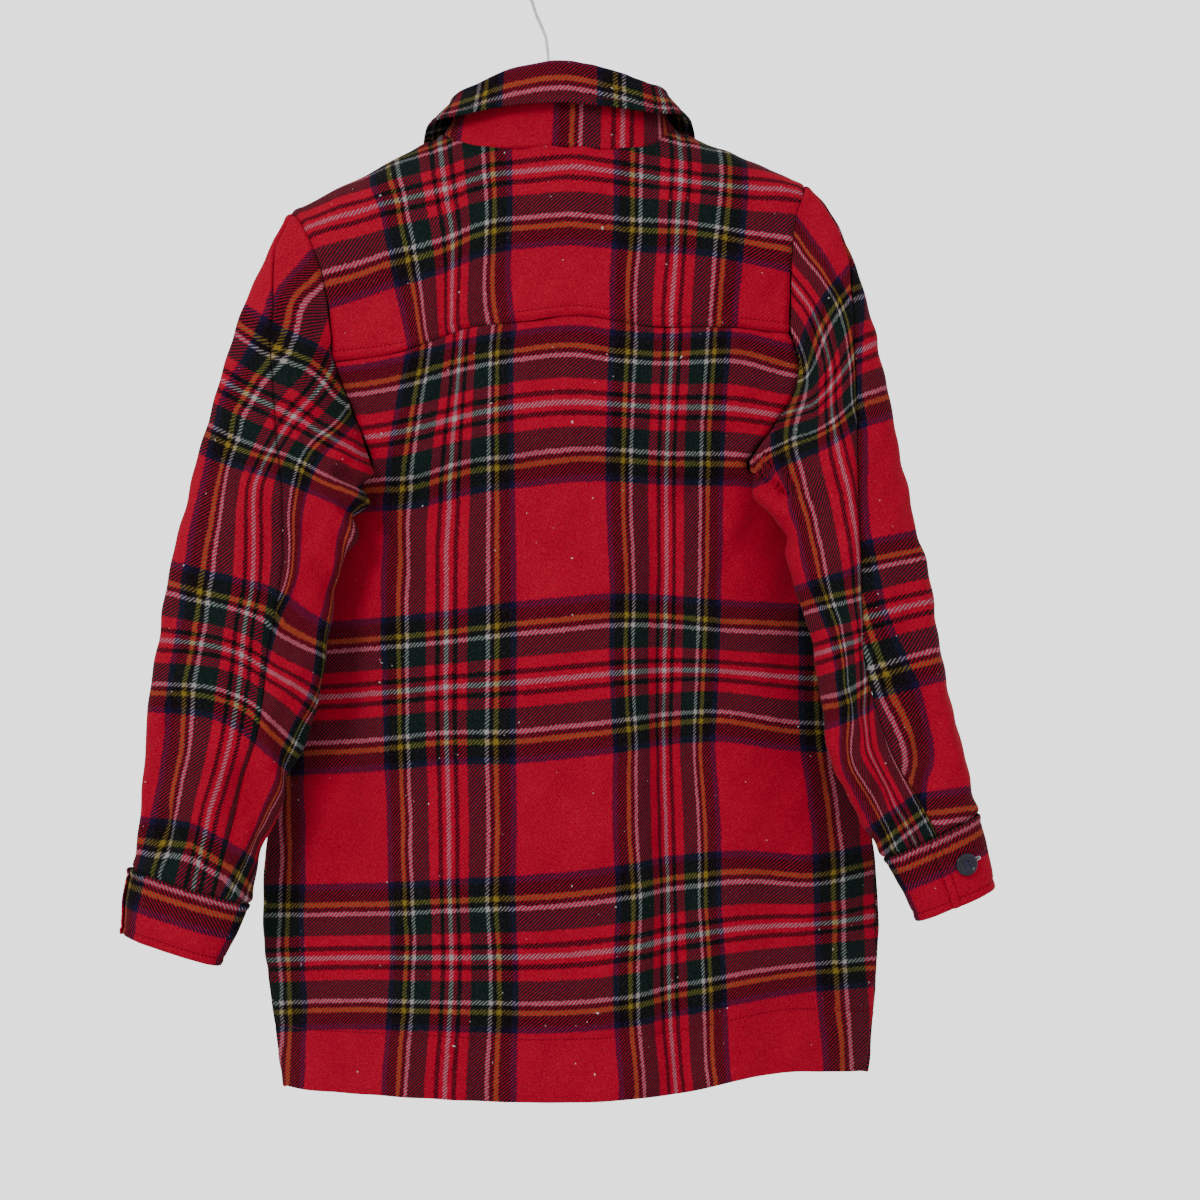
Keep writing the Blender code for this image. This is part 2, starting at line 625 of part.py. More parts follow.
def cloth_object(piece, holder, material):
    """Closed shell of one piece: outer face, inner face and the cut edges between them."""
    outer = piece["outer"]
    inner = piece["inner"]
    across, down = outer.shape[:2]
    size = across * down
    points = np.concatenate([outer.reshape(-1, 3), inner.reshape(-1, 3)]) * MM
    index = np.arange(size).reshape(across, down)
    quads = np.stack([index[:-1, :-1], index[1:, :-1], index[1:, 1:], index[:-1, 1:]], axis=-1).reshape(-1, 4)
    first = np.linalg.norm(points[quads[:, 0]] - points[quads[:, 2]], axis=1)
    second = np.linalg.norm(points[quads[:, 1]] - points[quads[:, 3]], axis=1)
    faces = split_quads(quads, first <= second)
    rim = np.concatenate([index[:-1, 0], index[-1, :-1], index[:0:-1, -1], index[0, :0:-1]])
    following = np.roll(rim, -1)
    sides = np.stack([following, rim, rim + size, following + size], axis=-1)
    rank = points @ np.array([0.37, 0.11, 1.0])
    sides = split_quads(sides, rank[following] > rank[rim])
    every = np.concatenate([faces, faces[:, ::-1] + size, sides])
    if piece["turn"] < 0:
        every = every[:, ::-1]
    mesh = bpy.data.meshes.new(piece["name"])
    mesh.from_pydata(points.tolist(), [], every.tolist())
    mesh.update()
    thing = bpy.data.objects.new(piece["name"], mesh)
    thing.data.materials.append(material)
    holder.objects.link(thing)
    smooth_shade(thing)
    return thing


def button_object(name, place, facing, holder, cutters, material):
    """Rimmed button with four holes, its back just off the cloth."""
    radius = BUTTON_ROUND / 2
    profile = [(0, 0), (radius - 0.8, 0), (radius, 1.2), (radius - 0.7, 3.0), (radius - 2.2, 2.8),
               (radius - 3.0, 2.1), (0, 2.1)]
    turns = 16
    points = []
    for step in range(turns):
        angle = 2 * math.pi * step / turns
        for across, height in profile[1:-1]:
            points.append((across * math.cos(angle), across * math.sin(angle), height))
    ring_size = len(profile) - 2
    points.append((0, 0, 0))
    points.append((0, 0, profile[-1][1]))
    faces = []
    for step in range(turns):
        here = step * ring_size
        there = (step + 1) % turns * ring_size
        for level in range(ring_size - 1):
            faces.append((here + level, there + level, there + level + 1, here + level + 1))
        faces.append((len(points) - 2, there, here))
        faces.append((len(points) - 1, here + ring_size - 1, there + ring_size - 1))
    mesh = bpy.data.meshes.new(name)
    mesh.from_pydata((np.array(points) * MM).tolist(), [], faces)
    mesh.update()
    thing = bpy.data.objects.new(name, mesh)
    thing.data.materials.append(material)
    holder.objects.link(thing)
    for number, (dx, dy) in enumerate(((1, 1), (-1, 1), (-1, -1), (1, -1))):
        bpy.ops.mesh.primitive_cylinder_add(vertices=6, radius=1.0 * MM, depth=8 * MM,
                                            location=(dx * 1.9 * MM, dy * 1.9 * MM, 1 * MM))
        cutter = bpy.context.object
        cutter.name = name + "_hole_" + str(number + 1)
        keep_as_cutter(cutter, cutters)
        cut = thing.modifiers.new("hole", "BOOLEAN")
        cut.operation = "DIFFERENCE"
        cut.solver = "EXACT"
        cut.object = cutter
    apply_modifiers(thing)
    up = Vector(facing)
    turn = up.to_track_quat("Z", "Y").to_matrix().to_4x4()
    spot = Vector((np.array(place) + SEAM_GAP * np.array(facing)) * MM)
    thing.data.transform(Matrix.Translation(spot) @ turn)
    smooth_shade(thing)
    return thing


def keep_as_cutter(thing, cutters):
    """Keep a cutting or joining body in its own collection, out of the part."""
    for old in list(thing.users_collection):
        old.objects.unlink(thing)
    cutters.objects.link(thing)
    thing.hide_render = True


def apply_modifiers(thing):
    """Replace the mesh by its evaluated form."""
    graph = bpy.context.evaluated_depsgraph_get()
    mesh = bpy.data.meshes.new_from_object(thing.evaluated_get(graph))
    thing.modifiers.clear()
    thing.data = mesh


def wire_along(name, points, closed, holder, material):
    """Round wire swept along a path, given with a curve and its bevel."""
    curve = bpy.data.curves.new(name, "CURVE")
    curve.dimensions = "3D"
    curve.bevel_depth = WIRE / 2 * MM
    curve.bevel_resolution = 1
    curve.use_fill_caps = True
    line = curve.splines.new("POLY")
    line.points.add(len(points) - 1)
    for point, place in zip(line.points, points):
        point.co = (place[0] * MM, place[1] * MM, place[2] * MM, 1)
    line.use_cyclic_u = closed
    thing = bpy.data.objects.new(name, curve)
    holder.objects.link(thing)
    graph = bpy.context.evaluated_depsgraph_get()
    mesh = bpy.data.meshes.new_from_object(thing.evaluated_get(graph))
    bpy.data.objects.remove(thing)
    made = bpy.data.objects.new(name, mesh)
    made.data.materials.clear()
    made.data.materials.append(material)
    holder.objects.link(made)
    return made


def hanger_object(holder, cutters, material):
    """Wire hanger: hook, twisted neck, two arms under the shoulders and the lower bar."""
    round_line = HOOK_INNER + WIRE / 2
    turn = np.radians(np.linspace(196, -32, 22))
    hook = [(round_line * math.cos(a), 0, -HOOK_INNER + round_line * math.sin(a)) for a in turn]
    stem = [(16.8, -42), (12.3, -52), (8.2, -62), (6.6, -76), (4.5, -100), (2, -128)]
    hook += [(x, 0, z) for x, z in stem]
    loop = [(x, 0, z) for x, z in HANGER_LOOP]
    body = wire_along("hanger", loop, True, holder, material)
    upper = wire_along("hanger_hook", hook, False, cutters, material)
    upper.hide_render = True
    bpy.ops.mesh.primitive_cylinder_add(vertices=12, radius=3.4 * MM, depth=26 * MM,
                                        location=(2 * MM, 0, -127 * MM))
    neck = bpy.context.object
    neck.name = "hanger_neck"
    keep_as_cutter(neck, cutters)
    for other in (neck, upper):
        join = body.modifiers.new("join", "BOOLEAN")
        join.operation = "UNION"
        join.solver = "EXACT"
        join.object = other
    apply_modifiers(body)
    smooth_shade(body)
    return body


def surface_at(piece, x, z):
    """Place and outward normal on a front at a spot seen from the front."""
    grid = piece["outer"]
    gap = (grid[..., 0] - x) ** 2 + (grid[..., 2] - z) ** 2
    i, j = np.unravel_index(gap.argmin(), gap.shape)
    normal = piece["normal"][i, j]
    place = grid[i, j]
    y = place[1] - (normal[0] * (x - place[0]) + normal[2] * (z - place[2])) / normal[1]
    return np.array([x, y, z]), normal


def main():
    """Build all pieces."""
    for old in list(bpy.data.objects):
        bpy.data.objects.remove(old)
    jacket = collection_named("mackinaw_jacket")
    cutters = collection_named("cutters")

    back = back_surface()
    yoke = yoke_surface()
    left = front_surface(True, back, yoke)
    right = front_surface(False, back, yoke)
    add_cloth("back", back, 1, ("start", "stop", "top"))
    add_cloth("yoke", yoke, -1, ("start", "stop", "top", "bottom"))
    add_cloth("left_front", left, 1, ("start", "top", "stop"))
    add_cloth("right_front", right, -1, ("start", "top", "stop"))

    line = neck_points(left, yoke, right)
    add_cloth("collar_stand", stand_surface(line), 1, ("top",))
    line[0, 0] += 1.5
    line[-1, 0] -= 1.5
    add_cloth("collar_leaf", leaf_surface(line), -1, ())

    sides = (("left", left, LEFT_SLEEVE, LEFT_SLEEVE_FOLDS, LEFT_CUFF, 5, 1),
             ("right", right, RIGHT_SLEEVE, RIGHT_SLEEVE_FOLDS, RIGHT_CUFF, 95, -1))
    for name, front, table, folds, cuff, lap, turn in sides:
        loop = armhole_loop(yoke, back, front, name == "left")
        top_index = int(loop[:15, 2].argmax())
        tip_index = 14 + 4
        sleeve = sleeve_surface(table, folds, loop, top_index, tip_index)
        back_seam = (top_index + tip_index) // 2
        front_seam = tip_index + 5
        count = len(loop)
        under = np.arange(back_seam, front_seam + 1)
        upper = np.arange(front_seam, back_seam + count + 1) % count
        add_cloth(name + "_sleeve_upper", sleeve[upper], -turn, ("start", "stop", "top", "bottom"))
        add_cloth(name + "_sleeve_under", sleeve[under], -turn, ("start", "stop", "top", "bottom"))
        add_cloth(name + "_cuff", cuff_surface(cuff, math.radians(lap)), -turn, ())

    shared_normals()
    pieces = {}
    for piece in CLOTH:
        cut_apart(piece)
        pieces[piece["name"]] = piece
        material = material_named(piece["name"] + "_wool", RED, 0, 0.9)
        cloth_object(piece, jacket, material)

    for number, height in enumerate(FRONT_BUTTONS):
        place, facing = surface_at(pieces["left_front"], 0, height)
        name = "front_button_" + str(number + 1)
        button_object(name, place, facing, jacket, cutters, material_named(name + "_resin", NAVY, 0, 0.25))
    for side, step in (("left", 27), ("right", 28)):
        cuff = pieces[side + "_cuff"]
        name = side + "_cuff_button"
        button_object(name, cuff["outer"][step, 2], cuff["normal"][step, 2], jacket, cutters,
                      material_named(name + "_resin", NAVY, 0, 0.25))
    hanger_object(jacket, cutters, material_named("hanger_steel", STEEL, 1, 0.35))


main()
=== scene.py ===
"""Looks of the tartan mackinaw jacket on its wire hanger, seen from the back.

The sizes and surfaces are those of the jacket's source, in millimetres, drawn finer here. The
pattern of each cut piece is charted: where its stripes lie on the hanging cloth.
"""

import math

import bpy
import numpy as np
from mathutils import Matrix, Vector


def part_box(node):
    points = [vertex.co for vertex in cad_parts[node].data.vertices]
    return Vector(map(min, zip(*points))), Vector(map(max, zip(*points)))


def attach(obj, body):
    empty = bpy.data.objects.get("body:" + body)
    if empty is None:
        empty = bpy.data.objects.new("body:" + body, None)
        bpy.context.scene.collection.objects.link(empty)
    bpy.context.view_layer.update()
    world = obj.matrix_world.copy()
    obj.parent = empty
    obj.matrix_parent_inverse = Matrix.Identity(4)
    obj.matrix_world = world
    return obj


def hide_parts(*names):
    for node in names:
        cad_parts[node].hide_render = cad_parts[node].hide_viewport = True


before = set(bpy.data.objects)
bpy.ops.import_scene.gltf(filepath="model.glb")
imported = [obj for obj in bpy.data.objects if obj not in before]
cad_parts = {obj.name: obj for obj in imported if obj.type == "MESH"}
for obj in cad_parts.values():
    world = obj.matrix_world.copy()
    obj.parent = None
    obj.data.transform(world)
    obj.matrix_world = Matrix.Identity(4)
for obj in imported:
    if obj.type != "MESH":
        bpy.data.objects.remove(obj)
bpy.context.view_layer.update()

MM = 0.001

# Driving sizes, millimetres
WALL = 2.0                # thickness of the brushed wool cloth
SEAM_GAP = 0.3            # space between two neighbouring pieces at a seam
RIDGE_ROUND = 15.0        # how round the cloth lies over the shoulder
BACK_DEPTH = 52.0         # depth of the upper back behind the shoulder line
FRONT_DEPTH = 45.0        # depth of the front before the shoulder line
FORWARD_SEAM = 28.0       # shoulder seam of the fronts, before the shoulder line
FRONT_EDGE = 15.0         # half of the overlap of the two fronts
UNDERLAP = 2.7            # the right front lies this far inside the left one
CUFF_LAP = 2.9            # the lapped end of a cuff lies this far over the other end
SLEEVE_TUCK = 5.0         # the end of a sleeve reaches this far into its cuff
STAND_TUCK = 2.0          # the lower edge of the collar stand reaches this far behind the yoke
HEM_STITCH = 50.0         # stitching of the hem, from its edge
HEM_ROLL = 2.5            # groove of the turned hem, from its edge
YOKE_STITCH = 9.0         # stitching of the yoke, from its seam
EDGE_STITCH = 6.0         # stitching of front edges, cuffs and collar, from the edge
CUFF_TOP_STITCH = 5.0     # stitching of a cuff's upper edge, from the edge
BAND_STITCH = 34.0        # inner stitching of the button band, from the front edge
ARM_SHALLOW = 17.0        # how much shallower the cloth lies at the arms than at the neck
HALF_SHOULDER = 190.0     # from the neck to the arms
YOKE_RIGHT, YOKE_LEFT = -189, 180    # ends of the yoke seam
HEM_RIGHT, HEM_LEFT = -257, 225      # ends of the hem
UNDERARM_HEIGHT = -430    # height at which the lower fronts start
FRONT_HEM = -926          # height of the hem on the front
YOKE_ROWS = 15            # rows of the yoke's coarse grid, seam to neck
FRONT_COLUMNS = 15        # columns of a front's coarse grid, side to front edge
SLEEVE_ROWS = 15          # rows of a sleeve's coarse grid, armhole to cuff
UNDERARM_FOLD = 18        # place of the underarm fold in an armhole loop
FRONT_SEAM = 23           # place of the sleeve's front seam in an armhole loop
OUTER_EDGE = 31.6         # place of the sleeve's outer edge, one turn and the shoulder on
CUFF_LAP_TURN = 38        # degrees that the two ends of a cuff lie over each other
LEAF_BEND = 4.6           # radius of the leaf's turn over the stand

# Shoulder line: across, height
SHOULDER = [
    (-222, -192), (-205, -183), (-150, -160), (-95, -137), (-50, -119), (0, -109),
    (50, -120), (95, -143), (150, -171), (218, -206), (232, -214),
]
# Yoke seam on the back: across, height
YOKE_SEAM = [(-189, -308), (-150, -304), (-76, -303), (-14, -295), (28, -300), (67, -304),
             (126, -324), (180, -331)]
# Hem: across, height
HEM = [(-257, -910), (-222, -911), (-180, -912), (-139, -919), (-120, -925), (-62, -935),
       (40, -937), (134, -931), (190, -927), (225, -922)]
# Armholes over the shoulder: distance behind the shoulder line, left across, right across
ARMHOLE_TOP = [(-28, 214, -203), (0, 218, -205), (25, 210, -202), (50, 201, -196), (82, 191, -192),
               (126, 183, -190), (171, 180, -189)]
# Side of the back, yoke seam to hem: part of the length, left x y z, right x y z
SIDE = [
    (0.00, 180, 34, -331, -189, 33, -308),
    (0.06, 166, 35, -366, -198, 34, -346),
    (0.10, 156, 36, -392, -184, 36, -374),
    (0.14, 149, 33, -414, -155, 34, -412),
    (0.155, 160, 25, -426, -167, 26, -425),
    (0.17, 174, 15, -435, -181, 15, -435),
    (0.20, 190, 4, -455, -197, 4, -455),
    (0.25, 202, -4, -484, -210, -4, -482),
    (0.32, 210, -6, -524, -222, -6, -522),
    (0.45, 220, -6, -600, -240, -6, -596),
    (0.60, 235, -6, -690, -256, -6, -682),
    (0.75, 242, -6, -778, -265, -6, -770),
    (0.90, 233, -6, -864, -262, -6, -852),
    (1.00, 225, -6, -922, -257, -6, -910),
]
BACK_ROWS = [0, 0.035, 0.07, 0.105, 0.14, 0.155, 0.17, 0.20, 0.235, 0.275, 0.32, 0.38, 0.44, 0.50, 0.56,
             0.62, 0.69, 0.76, 0.83, 0.90, 0.96, 1.0]
UNDERARM_ROW = 6
# Depth at the centre: part of the length, back y, front y
CENTRE_DEPTH = [(0, 51, -44), (0.2, 52, -45), (0.4, 54, -46), (0.7, 57, -47), (1.0, 58, -48)]
# Front armhole, underarm up to the shoulder seam: left x y z, right x y z
FRONT_ARMHOLE = [
    (184, 2, -422, -190, 2, -420),
    (188, -12, -401, -193, -12, -397),
    (186, -22, -370, -191, -22, -362),
    (184, -28, -336, -189, -28, -327),
    (184, -30, -303, -189, -30, -290),
    (190, -28, -272, -192, -28, -256),
    (201, -23, -243, -197, -23, -224),
]
# Front edge and neckline from the underarm row up: across (left front), y, z
FRONT_INNER = [
    (-15, -45, -430), (-15, -45, -360), (-15, -45, -290), (-15, -45, -222), (0, -45, -221),
    (30, -44, -217), (58, -41, -204), (79, -34, -183),
]
# Neckline over the yoke: across, distance behind the shoulder line
NECKLINE = [(-97, -28), (-97, -7), (-92, 17), (-77, 42), (-48, 60), (-6, 68), (36, 62), (68, 44),
            (86, 19), (92, -6), (93, -28)]

# Soft folds of the back: from x z, to x z, height, half width
BACK_FOLDS = [
    (-92, -450, -104, -930, -7, 27),
    (-138, -520, -150, -930, 5, 26),
    (-48, -600, -56, -930, 4, 22),
    (40, -560, 52, -930, -4, 24),
    (96, -620, 110, -930, 4, 22),
    (168, -540, 176, -930, -5, 18),
    (134, -405, 60, -470, -4, 15),
    (-140, -405, -80, -460, -4, 15),
]

# Sleeves, armhole to cuff: outer x z y, inner x z y, back depth, front depth, underarm fullness,
# fullness beside the back of the armhole
LEFT_SLEEVE = [
    (218, -206, 0, 148, -414, 33, 14, 18, 0, 0),
    (229, -224, 9, 146, -424, 42, 20, 22, 40, 0),
    (240, -249, 17, 147, -438, 46, 23, 24, 44, 0),
    (251, -280, 24, 152, -453, 48, 26, 25, 40, 0),
    (262, -315, 31, 158, -470, 50, 27, 25, 30, 0),
    (273, -355, 37, 163, -491, 51, 28, 24, 20, 0),
    (286, -400, 42, 170, -513, 52, 28, 23, 12, 0),
    (297, -445, 46, 176, -537, 53, 28, 23, 6, 0),
    (307, -490, 49, 180, -562, 53, 28, 23, 0, 0),
    (316, -535, 50, 185, -588, 53, 28, 23, 0, 0),
    (322, -580, 50, 193, -617, 52, 28, 23, 0, 0),
    (327, -622, 49, 206, -650, 51, 27, 23, 0, 0),
    (330, -662, 47, 222, -690, 50, 27, 23, 0, 0),
    (334, -701, 45, 235, -729, 48, 26, 22, 0, 0),
    (341, -739, 43, 246, -768, 46, 24, 20, 0, 0),
]
RIGHT_SLEEVE = [
    (-205, -183, 0, -154, -412, 33, 14, 18, 0, 0),
    (-218, -199, 9, -152, -422, 42, 20, 22, 40, 22),
    (-232, -222, 17, -157, -436, 46, 23, 24, 44, 19),
    (-243, -250, 24, -165, -450, 48, 26, 25, 40, 14),
    (-252, -282, 31, -172, -464, 50, 27, 25, 30, 9),
    (-260, -318, 37, -180, -480, 51, 28, 24, 20, 4),
    (-268, -358, 42, -187, -498, 52, 28, 23, 12, 0),
    (-277, -401, 46, -194, -520, 53, 28, 23, 6, 0),
    (-286, -445, 49, -202, -545, 53, 28, 23, 0, 0),
    (-295, -488, 50, -208, -572, 53, 28, 23, 0, 0),
    (-303, -530, 50, -212, -600, 52, 28, 23, 0, 0),
    (-311, -572, 49, -217, -632, 51, 27, 23, 0, 0),
    (-320, -613, 47, -226, -664, 50, 27, 23, 0, 0),
    (-331, -654, 45, -246, -697, 48, 26, 22, 0, 0),
    (-341, -695, 43, -264, -731, 46, 24, 20, 0, 0),
]
# Sleeve folds: part of the length from and to, angle from and to, height, half width
LEFT_SLEEVE_FOLDS = [
    (0.10, 0.96, 78, 84, 4, 16),
    (0.12, 0.45, 128, 150, -4, 18),
    (0.62, 0.86, 130, 100, 3, 14),
    (0.74, 0.99, 50, 34, -5, 12),
    (0.80, 0.99, 120, 112, -4, 14),
]
RIGHT_SLEEVE_FOLDS = [
    (0.08, 0.90, 96, 112, 4, 16),
    (0.10, 0.40, 140, 156, -4, 16),
    (0.60, 0.90, 50, 72, -4, 15),
    (0.70, 0.97, 34, 28, 4, 14),
    (0.76, 0.98, 138, 122, -4, 14),
]
# Cuffs: outer x z y, inner x z y, back depth, front depth
LEFT_CUFF = [
    (341, -739, 43, 246, -768, 46, 24, 20),
    (346, -766, 42, 256, -792, 45, 23, 19),
    (347, -791, 41, 269, -816, 44, 22, 18),
]
RIGHT_CUFF = [
    (-341, -695, 43, -264, -731, 46, 24, 20),
    (-348, -724, 42, -279, -757, 45, 23, 19),
    (-353, -753, 41, -290, -780, 44, 22, 18),
]
# Collar from the centre back to the front end: part of the way, stand height, fold height,
# leaf edge outwards, leaf edge height, inward lean, leaf shift away from the front opening
COLLAR = [
    (0.00, 47, 69, 9, 34, 4, 0),
    (0.14, 44, 65, 9, 33, 5, 0),
    (0.28, 31, 50, 11, 24, 8, 0),
    (0.42, 17, 30, 15, 7, 10, 0),
    (0.56, 14, 25, 17, -5, 9, 0),
    (0.75, 15, 25, 16, -24, 7, 8),
    (1.00, 16, 25, 13, -46, 5, 34),
]
# Front buttons: height on the centre front
FRONT_BUTTONS = [-248, -372, -496, -620, -744]

# Charts of the tartan on the hanging cloth, read as the camera sees it. Each row is one
# stripe: its place in half repeats, where even numbers are the middles of the red squares and odd
# ones the white lines, and the spots it goes through, across and height
BACK_ACROSS = {
    -1.4: [(106, -314), (116, -376), (124, -443), (126, -515), (126, -589), (122, -704), (119, -799),
        (122, -868), (127, -929)],
    -0.6: [(51, -314), (52, -377), (52, -515), (53, -646), (53, -769), (53, -921)],
    0.6: [(-62, -314), (-59, -377), (-61, -515), (-63, -646), (-66, -769), (-69, -921)],
    1.4: [(-127, -314), (-123, -377), (-120, -515), (-116, -646), (-120, -769), (-126, -904)],
    2.6: [(-219, -646), (-230, -720), (-231, -774), (-233, -829), (-239, -909)],
    -2.6: [(222, -720), (224, -794), (221, -892)],
    -2: [(173, -376), (175, -605), (171, -851)],
}
BACK_DOWN = {
    -1.44: [(169, -347), (127, -340), (76, -325), (31, -318), (-13, -313), (-46, -318), (-95, -321),
        (-152, -319), (-194, -331)],
    -0.56: [(148, -433), (125, -433), (72, -418), (31, -414), (-13, -408), (-46, -408), (-95, -412),
        (-152, -412)],
    0.56: [(184, -557), (144, -554), (90, -549), (34, -542), (-3, -539), (-43, -535), (-136, -540),
        (-190, -542)],
    1.44: [(204, -649), (144, -646), (90, -640), (35, -640), (-3, -636), (-43, -632), (-136, -622),
        (-190, -631)],
    2.56: [(206, -773), (144, -772), (35, -767), (-46, -760), (-134, -746), (-164, -745), (-212, -749),
        (-258, -738)],
    3.44: [(214, -861), (162, -859), (35, -862), (-46, -859), (-139, -840), (-178, -833), (-212, -829),
        (-258, -825)],
}
YOKE_ACROSS = {
    -1.4: [(134, -168), (131, -183), (125, -212), (119, -244), (112, -281), (106, -314)],
    -1: [(95, -150), (85, -224), (87, -298)],
    -0.6: [(55, -175), (54, -224), (52, -294)],
    0.6: [(-66, -150), (-66, -220), (-62, -294)],
    1: [(-102, -154), (-99, -216), (-94, -294)],
    1.4: [(-138, -158), (-136, -216), (-130, -294)],
    -1.6: [(152, -187), (144, -203), (136, -244), (128, -285)],
    -2: [(189, -207), (173, -302)],
    2: [(-196, -207), (-189, -302)],
}
YOKE_DOWN = {
    1: [(200, -216), (173, -207), (128, -195), (95, -187), (57, -175), (13, -170), (-32, -169),
        (-62, -174), (-102, -179), (-139, -183), (-198, -188)],
    1.44: [(193, -266), (161, -257), (139, -248), (124, -245), (95, -238), (75, -228), (50, -221),
        (13, -217), (-36, -217), (-62, -220), (-102, -221), (-139, -226), (-171, -233), (-194, -237)],
}
LEFT_OUTER_ACROSS = {
    0.6: [(230, -326), (239, -337), (250, -351), (259, -366), (262, -384), (268, -402), (273, -423),
        (277, -443), (281, -468), (285, -490), (288, -515), (294, -558), (302, -599), (303, -632),
        (308, -665), (314, -695)],
    1: [(228, -392), (240, -410), (248, -433), (248, -460), (248, -488), (249, -517), (254, -534),
        (257, -558), (259, -586), (263, -613), (266, -632), (274, -665), (284, -693)],
    0.4: [(298, -445)],
}
LEFT_OUTER_DOWN = {
    0.6: [(262, -300), (237, -318)],
    1.4: [(286, -383), (267, -393), (239, -403)],
    2.6: [(317, -513), (289, -521), (250, -531), (235, -535)],
    3: [(325, -556), (306, -557), (257, -568)],
    3.4: [(330, -596), (294, -597), (266, -604), (249, -612)],
    4.6: [(326, -728), (303, -728), (284, -740), (259, -758)],
}
LEFT_INNER_ACROSS = {
    0.6: [(194, -263), (208, -271), (214, -280), (216, -294), (220, -310), (225, -325)],
    1.4: [(166, -362), (180, -381), (199, -394), (208, -408), (212, -425), (216, -447), (216, -474),
        (218, -501), (222, -517)],
    2: [(195, -474), (210, -531), (221, -589), (241, -658), (257, -712)],
    2.6: [(192, -597), (203, -617), (216, -642), (224, -667), (237, -697), (251, -728)],
    0.4: [(210, -246)],
    2.4: [(180, -466), (185, -507)],
}
LEFT_INNER_DOWN = {
    0.6: [(221, -324), (194, -336), (173, -359)],
    1.4: [(222, -407), (208, -414), (189, -425), (167, -433)],
    2: [(195, -478)],
    2.6: [(227, -548), (212, -555), (194, -563)],
    3: [(233, -583), (212, -594)],
    3.4: [(239, -622), (229, -632), (216, -644)],
    4.6: [(267, -746), (253, -763)],
}
RIGHT_OUTER_ACROSS = {
    1.6: [(-256, -384), (-256, -425), (-257, -458), (-271, -531), (-286, -564), (-301, -597),
        (-304, -671)],
    1.44: [(-252, -523), (-257, -545), (-264, -564), (-276, -603), (-290, -630), (-298, -658)],
    2: [(-282, -359), (-292, -425), (-311, -490), (-335, -597), (-348, -679)],
    1.5: [(-245, -277)],
}
RIGHT_OUTER_DOWN = {
    0.56: [(-252, -264), (-245, -267)],
    1: [(-252, -318), (-262, -312)],
    1.44: [(-252, -363), (-272, -357)],
    2: [(-273, -426)],
    2.56: [(-264, -488), (-300, -481)],
    3: [(-276, -531), (-311, -523)],
    3.44: [(-270, -585), (-289, -579), (-317, -572)],
    4: [(-316, -634)],
    4.56: [(-308, -697), (-344, -693)],
}
RIGHT_INNER_ACROSS = {
    1.4: [(-206, -243), (-216, -253), (-233, -281), (-241, -322), (-244, -363)],
    0.6: [(-203, -339), (-194, -371), (-189, -394), (-198, -415), (-202, -437), (-211, -470),
        (-218, -497), (-223, -521), (-231, -542), (-237, -564), (-239, -603), (-241, -627), (-243, -660),
        (-256, -681), (-267, -701)],
    1: [(-226, -335), (-229, -378), (-239, -429), (-245, -464), (-249, -496), (-252, -564), (-252, -616),
        (-255, -644), (-264, -663), (-278, -690)],
    0.4: [(-182, -418), (-190, -443), (-198, -470), (-202, -497)],
    1.6: [(-200, -210), (-218, -235), (-229, -254)],
}
RIGHT_INNER_DOWN = {
    0.6: [(-233, -281), (-218, -303), (-203, -339)],
    1.4: [(-244, -363), (-229, -378), (-212, -386), (-189, -394)],
    2: [(-212, -456)],
    2.6: [(-203, -530), (-226, -523), (-251, -518)],
    3.4: [(-216, -607), (-239, -604), (-254, -592)],
    4.6: [(-266, -728), (-280, -716), (-294, -705)],
}

# Creases of the hanging cloth: from across height, to across height, rise, half width
BACK_CREASES = [
    (-84, -470, -98, -930, -3.5, 13),
    (-64, -560, -72, -930, 1.6, 12),
    (-118, -500, -128, -930, 2.0, 16),
    (172, -520, 168, -800, -2.0, 16),
    (120, -620, 128, -930, 1.4, 18),
    (20, -500, 24, -930, 1.2, 30),
    (146, -424, 70, -452, -1.8, 9),
    (142, -440, 84, -486, 1.6, 10),
    (150, -452, 110, -520, -1.4, 8),
    (-150, -424, -90, -446, -1.6, 10),
    (-156, -450, -118, -506, 1.4, 10),
    (92, -330, 86, -420, -1.2, 10),
]
YOKE_CREASES = [
    (92, -240, 94, -318, -1.6, 6),
    (104, -250, 104, -318, 1.0, 6),
    (196, -240, 150, -262, 1.0, 14),
    (-190, -230, -140, -246, 1.0, 14),
]
FRONT_CREASES = [
    (120, -470, 128, -930, -3.0, 22),
    (70, -540, 76, -930, 2.4, 22),
    (170, -560, 178, -930, 2.6, 20),
    (-110, -480, -120, -930, -3.2, 22),
    (-64, -560, -70, -930, 2.2, 20),
    (-165, -560, -174, -930, 2.4, 20),
    (150, -410, 90, -380, -2.0, 13),
    (-150, -406, -92, -372, -2.0, 13),
    (96, -250, 60, -210, 1.4, 12),
    (-96, -240, -60, -206, 1.4, 12),
]
LEFT_CREASES = [
    (184, -404, 150, -420, 3.4, 5), (182, -417, 150, -432, -4.2, 4), (180, -430, 150, -447, 3.4, 5),
    (178, -444, 150, -466, -3.8, 4.5), (176, -460, 156, -486, 2.4, 6), (168, -480, 187, -592, -3.2, 4.5),
    (200, -432, 170, -450, 1.6, 8), (206, -470, 180, -520, -1.6, 8), (228, -640, 196, -742, -2.4, 7),
    (244, -600, 214, -752, 2.2, 9), (262, -640, 230, -770, -2.2, 8), (286, -640, 262, -780, 2.2, 10),
    (322, -690, 318, -742, -3.4, 6), (306, -706, 292, -752, -2.6, 7), (270, -560, 250, -620, -1.6, 11),
    (250, -300, 190, -350, 1.6, 13), (262, -350, 200, -396, -1.8, 12), (276, -420, 214, -440, 1.2, 12),
    (300, -500, 250, -560, 1.3, 12),
]
